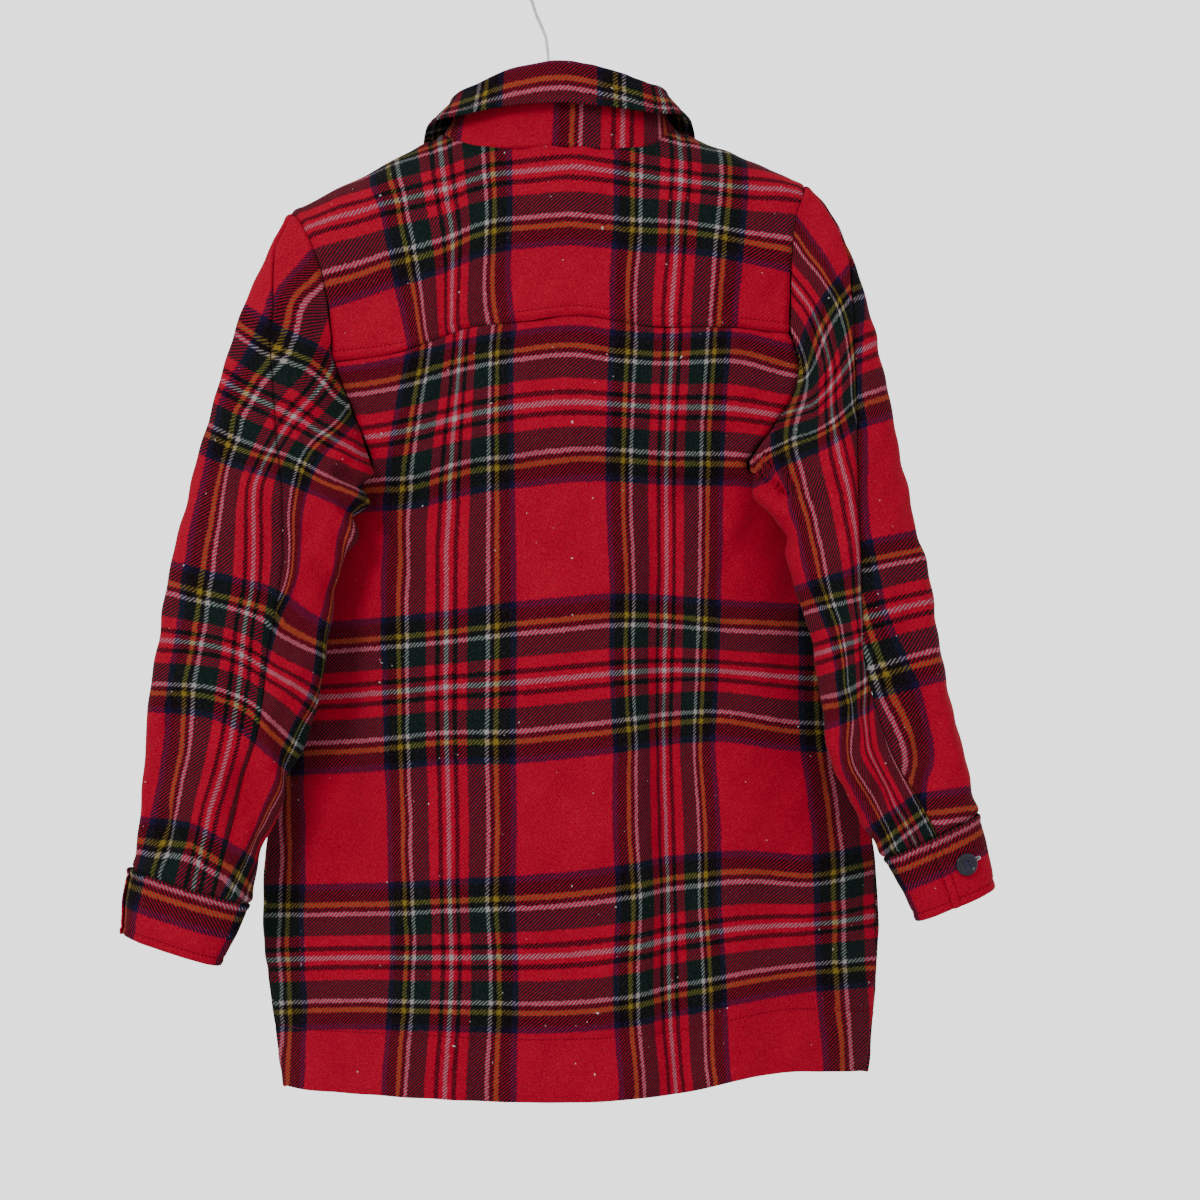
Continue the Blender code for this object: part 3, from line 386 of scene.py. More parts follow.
RIGHT_CREASES = [
    (-166, -404, -196, -424, 3.0, 5), (-160, -416, -192, -438, -3.8, 4), (-158, -430, -190, -456, 3.0, 5),
    (-160, -446, -188, -478, -3.0, 5), (-170, -470, -196, -540, 2.2, 7), (-246, -330, -254, -600, -2.6, 6),
    (-240, -360, -250, -560, 2.0, 9), (-236, -600, -268, -690, -3.0, 7), (-244, -560, -282, -700, 2.4, 8),
    (-228, -640, -262, -712, 2.4, 7), (-300, -598, -302, -680, -2.8, 7), (-262, -300, -292, -360, 1.4, 13),
    (-196, -300, -214, -400, -1.8, 9), (-300, -480, -320, -560, 1.4, 11),
]
# Lift of the hem's edge as it hangs: across, height
HEM_LIFT = [(-260, 1), (-192, 8), (-130, 10), (-89, 12), (-65, 14), (-14, 14), (34, 13), (132, 10),
            (177, 6), (222, 2.5), (240, 2)]
# Back seam of the sleeves: how far down in rows of the sleeve, and place round it after the front seam
LEFT_SEAM = ([0, 1.2, 1.67, 2.42, 3.4, 5, 6.58, 9, 10.8, 14],
             [8.8, 9.3, 10, 13.2, 14.8, 16.2, 17, 17, 17.6, 17.6])
RIGHT_SEAM = ([0, 2.2, 2.6, 3.17, 4.17, 5.25, 6.5, 8.1, 9.8, 11.3, 12.6, 14],
              [8.6, 8.9, 9.5, 12.1, 13.4, 14, 14.7, 15.6, 16.6, 16.3, 15.9, 15.2])


# Surfaces of the source

def column(table, index):
    """One named column of a table."""
    return np.array([row[index] for row in table], float)


def smooth(where, knots, values):
    """Smooth curve through the values given at the knots."""
    knots = np.asarray(knots, float)
    values = np.asarray(values, float)
    where = np.clip(np.asarray(where, float), knots[0], knots[-1])
    slope = np.gradient(values, knots, axis=0)
    left = np.clip(np.searchsorted(knots, where, side="right") - 1, 0, len(knots) - 2)
    step = knots[left + 1] - knots[left]
    part = (where - knots[left]) / step
    if values.ndim > 1:
        step = step[..., None]
        part = part[..., None]
    start = (1 + 2 * part) * (1 - part) ** 2 * values[left] + part * (1 - part) ** 2 * step * slope[left]
    stop = part ** 2 * (3 - 2 * part) * values[left + 1] + part ** 2 * (part - 1) * step * slope[left + 1]
    return start + stop


def ease(value):
    """Soft step from 0 to 1."""
    value = np.clip(value, 0, 1)
    return value * value * (3 - 2 * value)


def unit(vectors):
    """Vectors of length one."""
    length = np.linalg.norm(vectors, axis=-1, keepdims=True)
    return vectors / np.maximum(length, 1e-9)


def shoulder_height(across):
    """Height of the shoulder line."""
    return smooth(across, column(SHOULDER, 0), column(SHOULDER, 1))


def over_shoulder(across, behind):
    """Point of the cloth a distance behind (or before) the shoulder line."""
    across, behind = np.broadcast_arrays(np.asarray(across, float), np.asarray(behind, float))
    full = np.where(behind > 0, BACK_DEPTH, FRONT_DEPTH)
    full = full - ARM_SHALLOW * np.minimum(np.abs(across) / HALF_SHOULDER, 1.2) ** 2
    away = np.abs(behind)
    y = np.sign(behind) * full * (1 - np.exp(-away / full))
    drop = away ** 2 / (away + 2 * RIDGE_ROUND)
    return np.stack([across, y, shoulder_height(across) - drop], axis=-1)


def behind_at(across, height):
    """Distance behind the shoulder line at which the cloth has a height."""
    drop = shoulder_height(across) - height
    return (drop + np.sqrt(drop ** 2 + 8 * RIDGE_ROUND * drop)) / 2


def side_point(part, first):
    """Point of the left (first = 1) or right (first = 4) side of the back."""
    return smooth(part, column(SIDE, 0), np.array([row[first:first + 3] for row in SIDE], float))


def bulge(across):
    """Share of the full depth, from 0 at the sides (-1 and 1) to 1 at the centre."""
    return np.clip(1 - np.abs(across) ** 2.4, 0, 1) ** 0.8


def fold_height(x, z, folds, begin=(0.1, 0.35), end=(1.25, 0.25)):
    """Height of given folds at a place: a bell across each line, faded in at its begin and
    out at its end. Columns: from across, height, to across, height, rise, half width."""
    total = np.zeros_like(x)
    for x0, z0, x1, z1, height, width in folds:
        along = np.array([x1 - x0, z1 - z0], float)
        length = np.hypot(along[0], along[1])
        part = ((x - x0) * along[0] + (z - z0) * along[1]) / length ** 2
        beside = ((x - x0) * along[1] - (z - z0) * along[0]) / length
        fade = ease((part + begin[0]) / begin[1]) * ease((end[0] - part) / end[1])
        total += height * fade * np.exp(-(beside / width) ** 2)
    return total


# Columns of the back and yoke along the yoke seam, dense under the shoulders
BACK_START = np.interp(np.arange(25), [0, 7, 17, 24], [YOKE_RIGHT, -128, 121, YOKE_LEFT])
ACROSS_BACK = (BACK_START - YOKE_RIGHT) / (YOKE_LEFT - YOKE_RIGHT)


def yoke_seam_points():
    """Points of the yoke seam from right to left."""
    height = smooth(BACK_START, column(YOKE_SEAM, 0), column(YOKE_SEAM, 1))
    return over_shoulder(BACK_START, behind_at(BACK_START, height))


def back_surface():
    """Grid of the back: right to left, yoke seam to hem."""
    part = np.array(BACK_ROWS)[None, :]
    share = ACROSS_BACK[:, None]
    left = side_point(part, 1)
    right = side_point(part, 4)
    seam = yoke_seam_points()
    left = left + (1 - ease(part / 0.06))[..., None] * (seam[-1] - left[:, :1])
    right = right + (1 - ease(part / 0.06))[..., None] * (seam[0] - right[:, :1])
    side = right + share[..., None] * (left - right)
    hem_x = HEM_RIGHT + share * (HEM_LEFT - HEM_RIGHT)
    hem = smooth(hem_x, column(HEM, 0), column(HEM, 1))
    middle = (1 - part) * seam[:, 2][:, None] + part * hem
    off_right = right[..., 2] - middle[:1, :]
    off_left = left[..., 2] - middle[-1:, :]
    z = middle + (1 - share) * off_right + share * off_left
    deep = smooth(part, column(CENTRE_DEPTH, 0), column(CENTRE_DEPTH, 1))
    round_y = side[..., 1] + (deep - side[..., 1]) * bulge(2 * share - 1)
    start = seam[:, 1][:, None] + side[..., 1] - side[:, :1, 1]
    turn = ease(part / 0.28)
    y = (1 - turn) * start + turn * round_y
    x = side[..., 0] + 0 * y
    edge = 1 - np.abs(2 * share - 1) ** 6
    y = y + fold_height(x, z, BACK_FOLDS) * edge * ease(part / 0.12)
    return np.stack([x, y, z], axis=-1)


def armhole_top(behind, first):
    """Points of an armhole over the shoulder, left (first = 1) or right (first = 2)."""
    across = smooth(behind, column(ARMHOLE_TOP, 0), column(ARMHOLE_TOP, first))
    return np.stack([across, behind], axis=-1)


def yoke_surface():
    """Grid of the yoke: right to left, yoke seam over the shoulder to the front seam and neck."""
    rows = np.linspace(0, 1, YOKE_ROWS)
    rows = 0.5 * rows + 0.5 * (1 - (1 - rows) ** 1.6)
    height = smooth(BACK_START, column(YOKE_SEAM, 0), column(YOKE_SEAM, 1))
    bottom = np.stack([BACK_START, behind_at(BACK_START, height)], axis=-1)
    neck_share = np.linspace(0, 1, 11)
    neck = smooth(neck_share, np.linspace(0, 1, len(NECKLINE)), np.array(NECKLINE, float))
    right_seam = np.linspace(ARMHOLE_TOP[0][2], NECKLINE[0][0], 8)[:-1]
    left_seam = np.linspace(NECKLINE[-1][0], ARMHOLE_TOP[0][1], 8)[1:]
    top = np.concatenate([
        np.stack([right_seam, np.full(7, -FORWARD_SEAM)], axis=-1), neck,
        np.stack([left_seam, np.full(7, -FORWARD_SEAM)], axis=-1)])
    right = armhole_top(bottom[0, 1] + rows * (-FORWARD_SEAM - bottom[0, 1]), 2)
    left = armhole_top(bottom[-1, 1] + rows * (-FORWARD_SEAM - bottom[-1, 1]), 1)
    right[:, 0] += (bottom[0, 0] - right[0, 0]) * (1 - rows) ** 2
    left[:, 0] += (bottom[-1, 0] - left[0, 0]) * (1 - rows) ** 2
    share = ((BACK_START - BACK_START[0]) / (BACK_START[-1] - BACK_START[0]))[:, None, None]
    row = rows[None, :, None]
    plain = (1 - row) * bottom[:, None] + row * top[:, None]
    flat = plain + (1 - share) * (right[None] - plain[:1]) + share * (left[None] - plain[-1:])
    return over_shoulder(flat[..., 0], flat[..., 1])


def front_surface(left_side, back, yoke):
    """Grid of a front: side to front edge, shoulder seam down to the hem."""
    sign = 1 if left_side else -1
    first = 1 if left_side else 4
    side = back[-1] if left_side else back[0]
    other = back[0] if left_side else back[-1]
    share = np.linspace(0, 1, FRONT_COLUMNS)
    share = 0.75 * share + 0.25 * (0.5 - 0.5 * np.cos(math.pi * share))
    part = np.array(BACK_ROWS)[UNDERARM_ROW:]
    edge = side[UNDERARM_ROW:]
    far = other[UNDERARM_ROW:]
    x = edge[None, :, 0] + share[:, None] * (-sign * FRONT_EDGE - edge[None, :, 0])
    middle = (edge[:, 0] + far[:, 0]) / 2
    half = np.abs(edge[:, 0] - far[:, 0]) / 2
    deep = smooth(part, column(CENTRE_DEPTH, 0), column(CENTRE_DEPTH, 2))
    y = edge[None, :, 1] + (deep - edge[:, 1])[None] * bulge((x - middle) / half)
    centre_z = UNDERARM_HEIGHT - (part - part[0]) / (1 - part[0]) * (UNDERARM_HEIGHT - FRONT_HEM)
    z = edge[None, :, 2] + ease(share)[:, None] * (centre_z - edge[:, 2])[None]
    lower = np.stack([x, y, z], axis=-1)

    outer = np.array([row[first - 1:first + 2] for row in FRONT_ARMHOLE], float)
    inner = np.array(FRONT_INNER, float)
    inner[:, 0] *= sign
    seam = yoke[:16:-1, -1] if left_side else yoke[:8, -1]
    even = np.linspace(0, 7, FRONT_COLUMNS)
    top = np.stack([np.interp(even, np.arange(8), seam[:, k]) for k in range(3)], axis=-1)
    outer = np.concatenate([lower[:1, 0], outer, top[:1]])
    inner = np.concatenate([inner, top[-1:]])
    inner[0] = lower[-1, 0]
    row = np.linspace(0, 1, 9)[None, :, None]
    across = share[:, None, None]
    ends = (1 - across) * outer[None] + across * inner[None]
    base = lower[:, :1]
    tip = top[:, None]
    upper = ends + (1 - row) * (base - ends[:, :1]) + row * (tip - ends[:, -1:])
    grid = np.concatenate([upper[:, ::-1], lower[:, 1:]], axis=1)
    centre = smooth(grid[..., 2], [-930, -430, -222, -150], [-48, -46, -45, -44])
    grid[..., 1] += (centre - grid[..., 1]) * ease((48 - np.abs(grid[..., 0])) / 26)
    if not left_side:
        grid[..., 1] += UNDERLAP * ease((grid[..., 0] + 75) / 50)
    return grid


def armhole_loop(yoke, back, front, left_side):
    """Closed armhole: front seam over the shoulder, down the back, up the front."""
    column_index = -1 if left_side else 0
    top = yoke[column_index, ::-1]
    behind = back[column_index, 1:UNDERARM_ROW + 1]
    before = front[0, 1:8][::-1]
    return np.concatenate([top, behind, before])


def ring_angles(loop, top_index, tip_index):
    """Angle of every loop point: 0 at the shoulder, half a turn at the underarm fold."""
    closed = np.concatenate([loop, loop[:1]])
    step = np.linalg.norm(np.diff(closed, axis=0), axis=1)
    way = np.concatenate([[0], np.cumsum(step)])
    total = way[-1]
    way = way[:-1] - way[top_index]
    fold = way[tip_index]
    before = (way < 0)
    angle = np.where(way <= fold, way / fold * math.pi, 0)
    front_length = total - fold
    angle = np.where(way > fold, math.pi + (way - fold) / front_length * math.pi, angle)
    return np.where(before, way / front_length * math.pi, angle)


def ring(rows, angle):
    """Flattened rings: a rounded section between the outer and the inner edge of each row."""
    rows = np.asarray(rows, float)
    outer = rows[:, [0, 2, 1]]
    inner = rows[:, [3, 5, 4]]
    middle = (outer + inner) / 2
    half = (outer - inner) / 2
    cos = np.cos(angle)
    sin = np.sin(angle)
    cos = np.sign(cos) * np.abs(cos) ** 0.92
    depth = np.where(sin > 0, rows[:, 6], rows[:, 7]) * np.sign(sin) * np.abs(sin) ** 0.85
    place = middle[None] + cos[..., None] * half[None]
    place[..., 1] += depth
    return place


def sleeve_surface(table, folds, loop, top_index, tip_index):
    """Grid of a sleeve: round the armhole loop, armhole to cuff."""
    count = len(table)
    start = ring_angles(loop, top_index, tip_index)
    even = np.interp(np.arange(len(loop)), [0, top_index, tip_index, len(loop)],
                     [start[0], 0, math.pi, start[0] + 2 * math.pi])
    mix = ease(np.arange(count) / 8)[None, :]
    angle = (1 - mix) * start[:, None] + mix * even[:, None]
    place = ring(table, angle)
    outward = np.sign(table[0][0])
    full = column(table, 8) * np.exp(-((np.mod(angle, 2 * math.pi) - 1.27 * math.pi) / 0.62) ** 2)
    place[..., 0] += outward * 0.85 * full
    place[..., 2] -= 0.5 * full
    place[..., 0] += outward * column(table, 9) * np.exp(-((angle - 0.6 * math.pi) / 0.7) ** 2)
    way = np.arange(count) / (count - 1)
    degrees = np.degrees(angle)
    for start_part, stop_part, angle0, angle1, height, width in folds:
        share = (way - start_part) / (stop_part - start_part)
        centre = angle0 + np.clip(share, 0, 1) * (angle1 - angle0)
        fade = ease((share + 0.1) / 0.3) * ease((1.15 - share) / 0.3)
        place[..., 1] += height * fade[None] * np.exp(-((degrees - centre[None]) / width) ** 2)
    blend = 1 - np.clip(1 - np.arange(count) / 3, 0, 1) ** 1.5
    blend = blend[None, :, None]
    return (1 - blend) * loop[:, None] + blend * place


def cuff_surface(table, lap_angle):
    """Grid of a cuff strip: from the covered end round the wrist to the lapped end, top to bottom."""
    lap = math.radians(CUFF_LAP_TURN)
    turn = np.linspace(0, 2 * math.pi + lap, 31)
    angle = lap_angle - lap + turn
    levels = np.linspace(0, 1, 5)
    rows = smooth(levels, np.linspace(0, 1, len(table)), np.array(table, float))
    place = ring(rows, np.repeat(angle[:, None], len(levels), axis=1))
    tube = np.stack([np.gradient(place[..., k], axis=0) for k in range(3)], axis=-1)
    down = np.stack([np.gradient(place[..., k], axis=1) for k in range(3)], axis=-1)
    normal = unit(np.cross(tube, down)) * -np.sign(table[0][0])
    rise = ease((turn - 2 * math.pi + 1.1) / 1.0)
    place = place + normal * (CUFF_LAP * rise)[:, None, None]
    place[..., 2] -= SEAM_GAP
    return place


def neck_points(left, yoke, right):
    """Neckline from the left front end round the back to the right front end."""
    left_part = left[-1, :5][::-1]
    right_part = right[-1, :5]
    line = np.concatenate([left_part, yoke[7:18, -1][::-1][1:-1], right_part])
    return line


def collar_frames(line):
    """Part of the way from centre back to each front end, outward direction and height table."""
    step = np.concatenate([[0], np.cumsum(np.linalg.norm(np.diff(line, axis=0), axis=1))])
    back = np.argmin(np.abs(line[:, 0] + 6) + (line[:, 1] < 0) * 999)
    way = np.where(step < step[back], (step[back] - step) / step[back],
                   (step - step[back]) / (step[-1] - step[back]))
    centre = np.array([-3, -6, 0])
    away = (line - centre) * np.array([0.8, 1.7, 0])
    rows = smooth(way, column(COLLAR, 0), np.array([row[1:] for row in COLLAR], float))
    side = np.where(np.arange(len(line)) < back, 1, -1)
    return unit(away), rows, side


def stand_surface(line):
    """Grid of the collar stand: left front end to right front end, seam up to the leaf."""
    out, rows, _ = collar_frames(line)
    level = np.linspace(0, 1, 4)[None, :]
    place = np.repeat(line[:, None], 4, axis=1)
    lean = rows[:, 4][:, None] * level ** 1.3
    place = place - out[:, None] * lean[..., None]
    place[..., 2] += rows[:, 0][:, None] * level
    return place


def leaf_surface(line):
    """Grid of the collar leaf: left to right, stand seam up over the fold and down to the edge."""
    out, rows, side = collar_frames(line)
    stand, fold, edge_out, edge_up, lean, slide = rows.T
    bend = LEAF_BEND
    base = -lean - WALL
    ahead = [base, base - 0.4, base - 0.4, base - 0.4 + bend * 0.3, base - 0.4 + bend,
             base - 0.4 + bend * 1.75, base + bend * 2.1]
    height = [stand + SEAM_GAP, (stand + fold - bend) / 2, fold - bend, fold - bend * 0.3, fold,
              fold - bend * 0.35, fold - bend * 1.3]
    shift = [0 * fold] * 7
    for share in (0.25, 0.5, 0.75, 1.0):
        ahead.append((1 - share) * (base + bend * 2.1) + share * edge_out)
        height.append((1 - share) * (fold - bend * 1.3) + share * edge_up)
        shift.append(share * slide)
    ahead = np.stack(ahead, axis=1)
    height = np.stack(height, axis=1)
    shift = np.stack(shift, axis=1)
    place = np.repeat(line[:, None], ahead.shape[1], axis=1) + out[:, None] * ahead[..., None]
    place[..., 2] += height
    place[..., 0] += side[:, None] * shift
    return place


# Camera and seen places

EYE_AWAY = 2300.0          # distance of the camera behind the jacket
VIEW_X, VIEW_Z = -36.0, -523.0   # middle of the picture
VIEW_WIDE = 984.0          # width of the picture at the hanger's plane


def seen(place):
    """Across and height at which the camera sees a point, on the plane of the hanger:
    the place is drawn away from the middle of the picture as it comes nearer the camera."""
    near = 1 / (1 - place[..., 1] / EYE_AWAY)
    return np.stack([VIEW_X + (place[..., 0] - VIEW_X) * near,
                     VIEW_Z + (place[..., 2] - VIEW_Z) * near], axis=-1)


def spots_of(chart):
    """Rows of across, height and place in half repeats of a chart."""
    return [(x, z, value) for value, line in chart.items() for x, z in line]


def charted(chart, places):
    """Thin plate through the values of a chart: a tilted plane plus a bump r squared log r at each
    charted spot, with weights that meet the values. Places are in millimetres."""
    chart = np.asarray(chart, float)
    spots = chart[:, :2] / 100
    flat = places.reshape(-1, 2) / 100

    def bumps(one, other):
        square = ((one[:, None] - other[None]) ** 2).sum(axis=-1)
        return 0.5 * square * np.log(square + 1e-12)

    count = len(spots)
    plane = np.column_stack([np.ones(count), spots])
    board = np.zeros((count + 3, count + 3))
    board[:count, :count] = bumps(spots, spots) + 0.02 * np.eye(count)
    board[:count, count:] = plane
    board[count:, :count] = plane.T
    weight = np.linalg.solve(board, np.concatenate([chart[:, 2], np.zeros(3)]))
    value = bumps(flat, spots) @ weight[:count]
    value += np.column_stack([np.ones(len(flat)), flat]) @ weight[count:]
    return value.reshape(places.shape[:-1])


# Fine grids

CELL = 3.0                 # side of a cell of fine cloth
REPEAT_ACROSS = 95.0       # half a repeat of the tartan across the cloth
REPEAT_DOWN = 112.3        # half a repeat down the cloth


def stations(grid, axis, extra=(), cell=CELL):
    """Reading places along a side: a cell apart, closer at both ends and beside extra distances."""
    step = np.linalg.norm(np.diff(grid, axis=axis), axis=-1).mean(axis=1 - axis)
    way = np.concatenate([[0], np.cumsum(step)])
    total = way[-1]
    ends = np.array([0, 1.2, 2.5, 4.0, 6.0])
    count = max(int(total / cell), 4)
    marks = [np.linspace(0, total, count), ends, total - ends]
    for distance in extra:
        marks.append(distance + np.array([-1.8, -0.9, 0, 0.9, 1.8]))
    marks = np.unique(np.round(np.concatenate(marks), 2))
    marks = marks[(marks >= 0) & (marks <= total + 1e-6)]
    marks = marks[np.concatenate([[True], np.diff(marks) > 0.6])]
    marks[-1] = total
    return np.interp(marks, way, np.arange(len(way)))


def resample(grid, first, second):
    """Cubic curves through the rows of a coarse grid and then through its columns, read at the
    given row and column places."""
    rows, columns, size = grid.shape
    part = smooth(first, np.arange(rows), grid.reshape(rows, -1)).reshape(len(first), columns, size)
    part = part.transpose(1, 0, 2)
    part = smooth(second, np.arange(columns), part.reshape(columns, -1))
    return part.reshape(len(second), len(first), size).transpose(1, 0, 2)


def outward(place, turn):
    """Unit normals of a grid: cross product of its two directions, times the side it faces."""
    return unit(np.cross(np.gradient(place, axis=0), np.gradient(place, axis=1))) * turn


def ways(place):
    """Cloth distance of every point from the start, stop, top and bottom of its grid."""
    along = np.linalg.norm(np.diff(place, axis=0), axis=-1)
    down = np.linalg.norm(np.diff(place, axis=1), axis=-1)
    start = np.concatenate([np.zeros((1, place.shape[1])), np.cumsum(along, axis=0)])
    top = np.concatenate([np.zeros((place.shape[0], 1)), np.cumsum(down, axis=1)], axis=1)
    return {"start": start, "stop": start[-1:] - start, "top": top, "bottom": top[:, -1:] - top}


def uneven(place, size, height):
    """Slow unevenness of hanging cloth: a sum of three waves of unlike length and direction."""
    x, y, z = place[..., 0] / size, place[..., 1] / size, place[..., 2] / size
    wave = np.sin(2.1 * x + 0.7 * z + 0.4) * np.sin(1.3 * z - 0.5 * x + 0.8 * y + 1.9)
    wave += 0.6 * np.sin(3.7 * x - 1.9 * z + 2.2) * np.sin(2.3 * z + 1.1 * x + 0.3)
    wave += 0.35 * np.sin(5.9 * x + 4.3 * z + 1.1 + 2.0 * y)
    return height * wave


def creases(spots, folds):
    """Creases of the hanging cloth at seen places, with the same fade at both ends."""
    return fold_height(spots[..., 0], spots[..., 1], folds, (0.15, 0.3), (1.15, 0.3))


def seam_relief(far, seams, stitched):
    """Relief beside the borders: a groove at each seam with a soft roll of the turned edge next to
    it, and a shallow groove under each line of stitching."""
    rise = np.zeros_like(far["start"])
    for side in seams:
        rise += 0.7 * np.exp(-((far[side] - 6) / 4) ** 2) - 1.5 * np.exp(-(far[side] / 2.0) ** 2)
    for side, distance in stitched:
        rise -= 0.7 * np.exp(-((far[side] - distance) / 1.5) ** 2)
        rise += 0.35 * np.exp(-((far[side] - distance / 2) / (distance / 3)) ** 2)
    return rise


def pucker(far, sides):
    """Small gathers along a seam: short waves along it that die out within a finger's width."""
    rise = np.zeros_like(far["start"])
    for side in sides:
        run = far["top"] if side in ("start", "stop") else far["start"]
        wave = np.sin(run / 4.3 + 0.8 * np.sin(run / 17)) + 0.6 * np.sin(run / 7.9 + 1.3)
        rise += 0.32 * wave * np.exp(-(far[side] / 9) ** 2)
    return rise


# Materials

def node_group(name, inputs, outputs):
    """New shader group with named float or colour sockets: (name, kind, value)."""
    group = bpy.data.node_groups.new(name, "ShaderNodeTree")
    for label, kind, value in inputs:
        made = group.interface.new_socket(label, in_out="INPUT", socket_type="NodeSocket" + kind)
        if kind != "Vector":
            made.default_value = value
    for label, kind in outputs:
        group.interface.new_socket(label, in_out="OUTPUT", socket_type="NodeSocket" + kind)
    enter = group.nodes.new("NodeGroupInput")
    leave = group.nodes.new("NodeGroupOutput")
    return group, enter, leave


class Wiring:
    """Short names for adding nodes to one tree."""

    def __init__(self, tree):
        self.tree = tree

    def put(self, value, socket):
        """Link a socket or set a number or colour."""
        if isinstance(value, bpy.types.NodeSocket):
            self.tree.links.new(value, socket)
        else:
            socket.default_value = value

    def math(self, kind, one, two=0.0, three=0.0):
        """One sum of numbers."""
        node = self.tree.nodes.new("ShaderNodeMath")
        node.operation = kind
        for value, socket in zip((one, two, three), node.inputs):
            self.put(value, socket)
        return node.outputs[0]

    def mix(self, kind, share, one, two):
        """Mix of two colours."""
        node = self.tree.nodes.new("ShaderNodeMix")
        node.data_type = "RGBA"
        node.blend_type = kind
        self.put(share, node.inputs[0])
        self.put(one, node.inputs[6])
        self.put(two, node.inputs[7])
        return node.outputs[2]

    def power(self, colour, height):
        """Colour raised to a power."""
        node = self.tree.nodes.new("ShaderNodeGamma")
        self.put(colour, node.inputs[0])
        self.put(height, node.inputs[1])
        return node.outputs[0]

    def noise(self, vector, scale, detail=2.0, rough=0.5):
        """Noise value."""
        node = self.tree.nodes.new("ShaderNodeTexNoise")
        self.put(vector, node.inputs["Vector"])
        self.put(scale, node.inputs["Scale"])
        node.inputs["Detail"].default_value = detail
        node.inputs["Roughness"].default_value = rough
        return node.outputs["Fac"]

    def ramp(self, value, stops, kind="LINEAR"):
        """Colour ramp from (place, colour) stops."""
        node = self.tree.nodes.new("ShaderNodeValToRGB")
        node.color_ramp.interpolation = kind
        marks = node.color_ramp.elements
        while len(marks) < len(stops):
            marks.new(0.5)
        for mark, (place, colour) in zip(marks, stops):
            mark.position = place
            mark.color = colour
        self.put(value, node.inputs[0])
        return node.outputs[0]

    def span(self, value, low, high, new_low=0.0, new_high=1.0):
        """Value moved from one range to another, held at its ends."""
        node = self.tree.nodes.new("ShaderNodeMapRange")
        node.clamp = True
        for number, part in enumerate((value, low, high, new_low, new_high)):
            self.put(part, node.inputs[number])
        return node.outputs[0]


TWILL_STEP = 3.2           # from one diagonal of the twill to the next, along the warp or weft
FIBRE = (0.17, 0.10, 0.11, 1)
LINT = (0.25, 0.24, 0.23, 1)
RED = (0.138, 0.0010, 0.0075, 1)
BLUE = (0.0020, 0.0012, 0.011, 1)
BLACK = (0.0011, 0.0006, 0.0010, 1)
YELLOW = (0.074, 0.050, 0.0055, 1)
WHITE = (0.122, 0.110, 0.110, 1)
GREEN = (0.0009, 0.0042, 0.0036, 1)
# Half a repeat of the tartan from the middle of the red square to the white line
SETT = [
    (0.0, RED), (0.396, RED), (0.406, BLUE), (0.44, BLUE), (0.46, BLACK), (0.541, BLACK),
    (0.550, YELLOW), (0.579, YELLOW), (0.588, BLACK), (0.620, BLACK), (0.628, WHITE), (0.652, WHITE),
    (0.660, GREEN), (0.81, GREEN), (0.820, RED), (0.894, RED), (0.904, BLACK), (0.937, BLACK),
    (0.947, RED), (0.976, RED), (0.986, WHITE), (1.0, WHITE),
]


